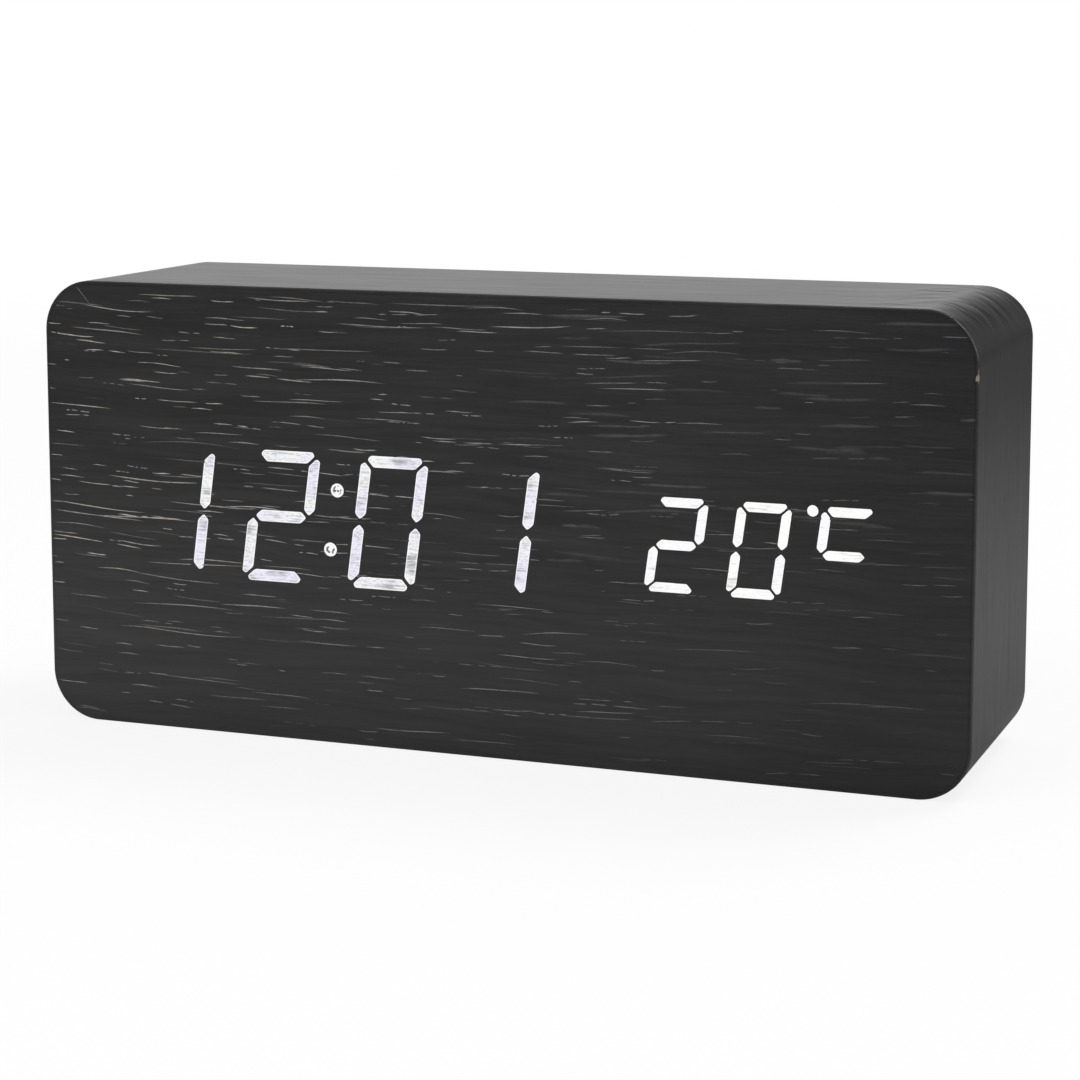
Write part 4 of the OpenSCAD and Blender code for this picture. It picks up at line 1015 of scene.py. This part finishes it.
# Lit places whose front is set in by a rim, marked 1 at the outline and 0 inside it
def rimmedCopy(name, node, look):
    shell = mergedShell(node)
    front = [face for face in shell.faces if face.normal.y < -0.9]
    bmesh.ops.inset_individual(shell, faces=front, thickness=look["rim"] * mm, use_even_offset=True)
    inner = {vert for face in front for vert in face.verts}
    mark = np.array([vert not in inner for vert in shell.verts], float)
    piece = placeShell(shell, name, node, "clock", "lit_zone", litFinish(name, look))
    piece.data.attributes.new("rim", "FLOAT", "POINT").data.foreach_set("value", mark)


# A copy with a narrow round on every sharp edge
def easedCopy(name, node, body, slot, width, finish):
    piece = placeShell(mergedShell(node), name, node, body, slot, finish)
    ease = piece.modifiers.new("ease", "BEVEL")
    ease.width, ease.segments, ease.use_clamp_overlap = width * mm, 2, False
    ease.limit_method, ease.angle_limit = "ANGLE", math.radians(50)
    flat = piece.modifiers.new("flat", "WEIGHTED_NORMAL")  # keeps the wide faces flat beside the rounds
    flat.weight, flat.keep_sharp = 100, True


rimmedCopy("timeLight", "time_windows", {**digits, **timeGlow})
rimmedCopy("temperatureLight", "temperature_windows", {**digits, **temperatureGlow})
for row in backPieces:
    easedCopy(*row)
print("copies made")


# Floor, light and background, in metres

studio = dict(
    floor=3.0, floorSteps=9, floorZ=-0.00005, floorTone=(0.86, 0.86, 0.86),
    nearTone=(0.30, 0.30, 0.30), farTone=(0.09, 0.09, 0.09), farFrom=(0.08, 0.55),  # painted light and shade, seen in reflections only
    aheadTone=(0.95, 0.95, 0.95), aheadFrom=(0.0, -0.08),
    glow=(0.86, 1.0), fade=(0.25, 0.9),  # white share near the clock and far off, and where it changes
    fill=0.50,  # level of the even light
    band=(0.15, 0.32), overhead=0.08, front=0.33, frontFrom=(-0.35, 0.3),  # bright behind, dark above
    flag=(-0.22, 0.06, 0.60, 0.85), flagFrom=(0.3, 0.6), flagLevel=0.12,  # a dark screen at the right
    lookAt=(0, 0, 0.035),
)
lamps = dict(
    keyLamp=dict(place=(-0.22, -0.52, 0.62), size=0.45, power=1.9),
    topLamp=dict(place=(0.25, 0.35, 1.5), size=1.2, power=4.0),
    rearLamp=dict(place=(0.45, 0.55, 1.10), size=0.4, power=6.5),
)
white = (1, 1, 1, 1)


# Flat floor, white to the camera apart from the shadow, with painted light for reflections: bright ahead of
# the clock, darker near it elsewhere and darkest far off
def makeFloor(s):
    steps = np.linspace(-s["floor"], s["floor"], s["floorSteps"])
    x, y = np.meshgrid(steps, steps, indexing="ij")
    points = np.stack([x, y, np.full_like(x, s["floorZ"])], -1).reshape(-1, 3)
    quads = gridQuads(s["floorSteps"], s["floorSteps"], False)[:, ::-1]
    mesh = bpy.data.meshes.new("paleFloor")
    mesh.from_pydata(points.tolist(), [], quads.tolist())
    floor = addObject("paleFloor", mesh)
    finish, coords = newFinish("paleSweep")
    tree = finish.node_tree
    path = addNode(tree, "LightPath")
    away = vectorCalc("LENGTH", coords)
    # painted light for reflections: the floor is bright in front of the clock and falls off behind it and
    # far away
    ahead = remap(axes(coords)[1], *s["aheadFrom"])
    close = blend(ahead, s["nearTone"], s["aheadTone"])
    mirrored = blend(remap(away, *s["farFrom"]), close, s["farTone"])
    dress(finish, blend(path["Is Glossy Ray"], s["floorTone"], mirrored), rough=0.9, gloss=0.1)
    glow = addNode(tree, "Emission", {"Color": white, "Strength": 1.0})[0]
    share = times(path["Is Camera Ray"], remap(away, *s["fade"], *s["glow"]))
    surface = tree.nodes["Principled BSDF"].outputs[0]
    mix = addNode(tree, "MixShader", {0: share, 1: surface, 2: glow})[0]
    feed(tree.nodes["Material Output"], {"Surface": mix})
    mesh.materials.append(finish)


# World: white to the camera, a bright band behind and below for reflections, even light for the rest
def makeWorld(s):
    world = bpy.data.worlds.new("studioWorld")
    world.use_nodes = True
    scene.world = world
    tree = world.node_tree
    tree.nodes.clear()
    x, y, z = axes(addNode(tree, "TexCoord")["Generated"])
    height = remap(z, *s["band"], 1.0, s["overhead"])
    behind = remap(y, *s["frontFrom"], s["front"], 1.0)
    start, full, fall, end = s["flag"]
    screen = times(remap(x, start, full), remap(x, end, fall), remap(y, *s["flagFrom"]))
    shaded = calc("MULTIPLY_ADD", screen, s["flagLevel"] - 1, 1.0)
    path = addNode(tree, "LightPath")
    mirrored = calc("MAXIMUM", path["Is Glossy Ray"], path["Is Transmission Ray"])
    even, seen, plainWhite = (
        addNode(tree, "Background", {"Color": white, "Strength": level})[0]
        for level in (s["fill"], times(height, behind, shaded), 1.0)
    )
    mix = addNode(tree, "MixShader", {0: mirrored, 1: even, 2: seen})[0]
    last = addNode(tree, "MixShader", {0: path["Is Camera Ray"], 1: mix, 2: plainWhite})[0]
    addNode(tree, "OutputWorld", {"Surface": last})


# Square soft lamp whose minus Z looks at the middle of the clock
def makeLamp(name, look):
    data = bpy.data.lights.new(name, "AREA")
    data.size, data.energy = look["size"], look["power"]
    lamp = addObject(name, data)
    back = unit(np.subtract(look["place"], studio["lookAt"]))
    lamp.matrix_world = lookMatrix(unit(np.cross([0, 0, 1], back)), back, look["place"])


makeFloor(studio)
makeWorld(studio)
for name, look in lamps.items():
    makeLamp(name, look)
scene.view_settings.view_transform = "Standard"
print("studio made")
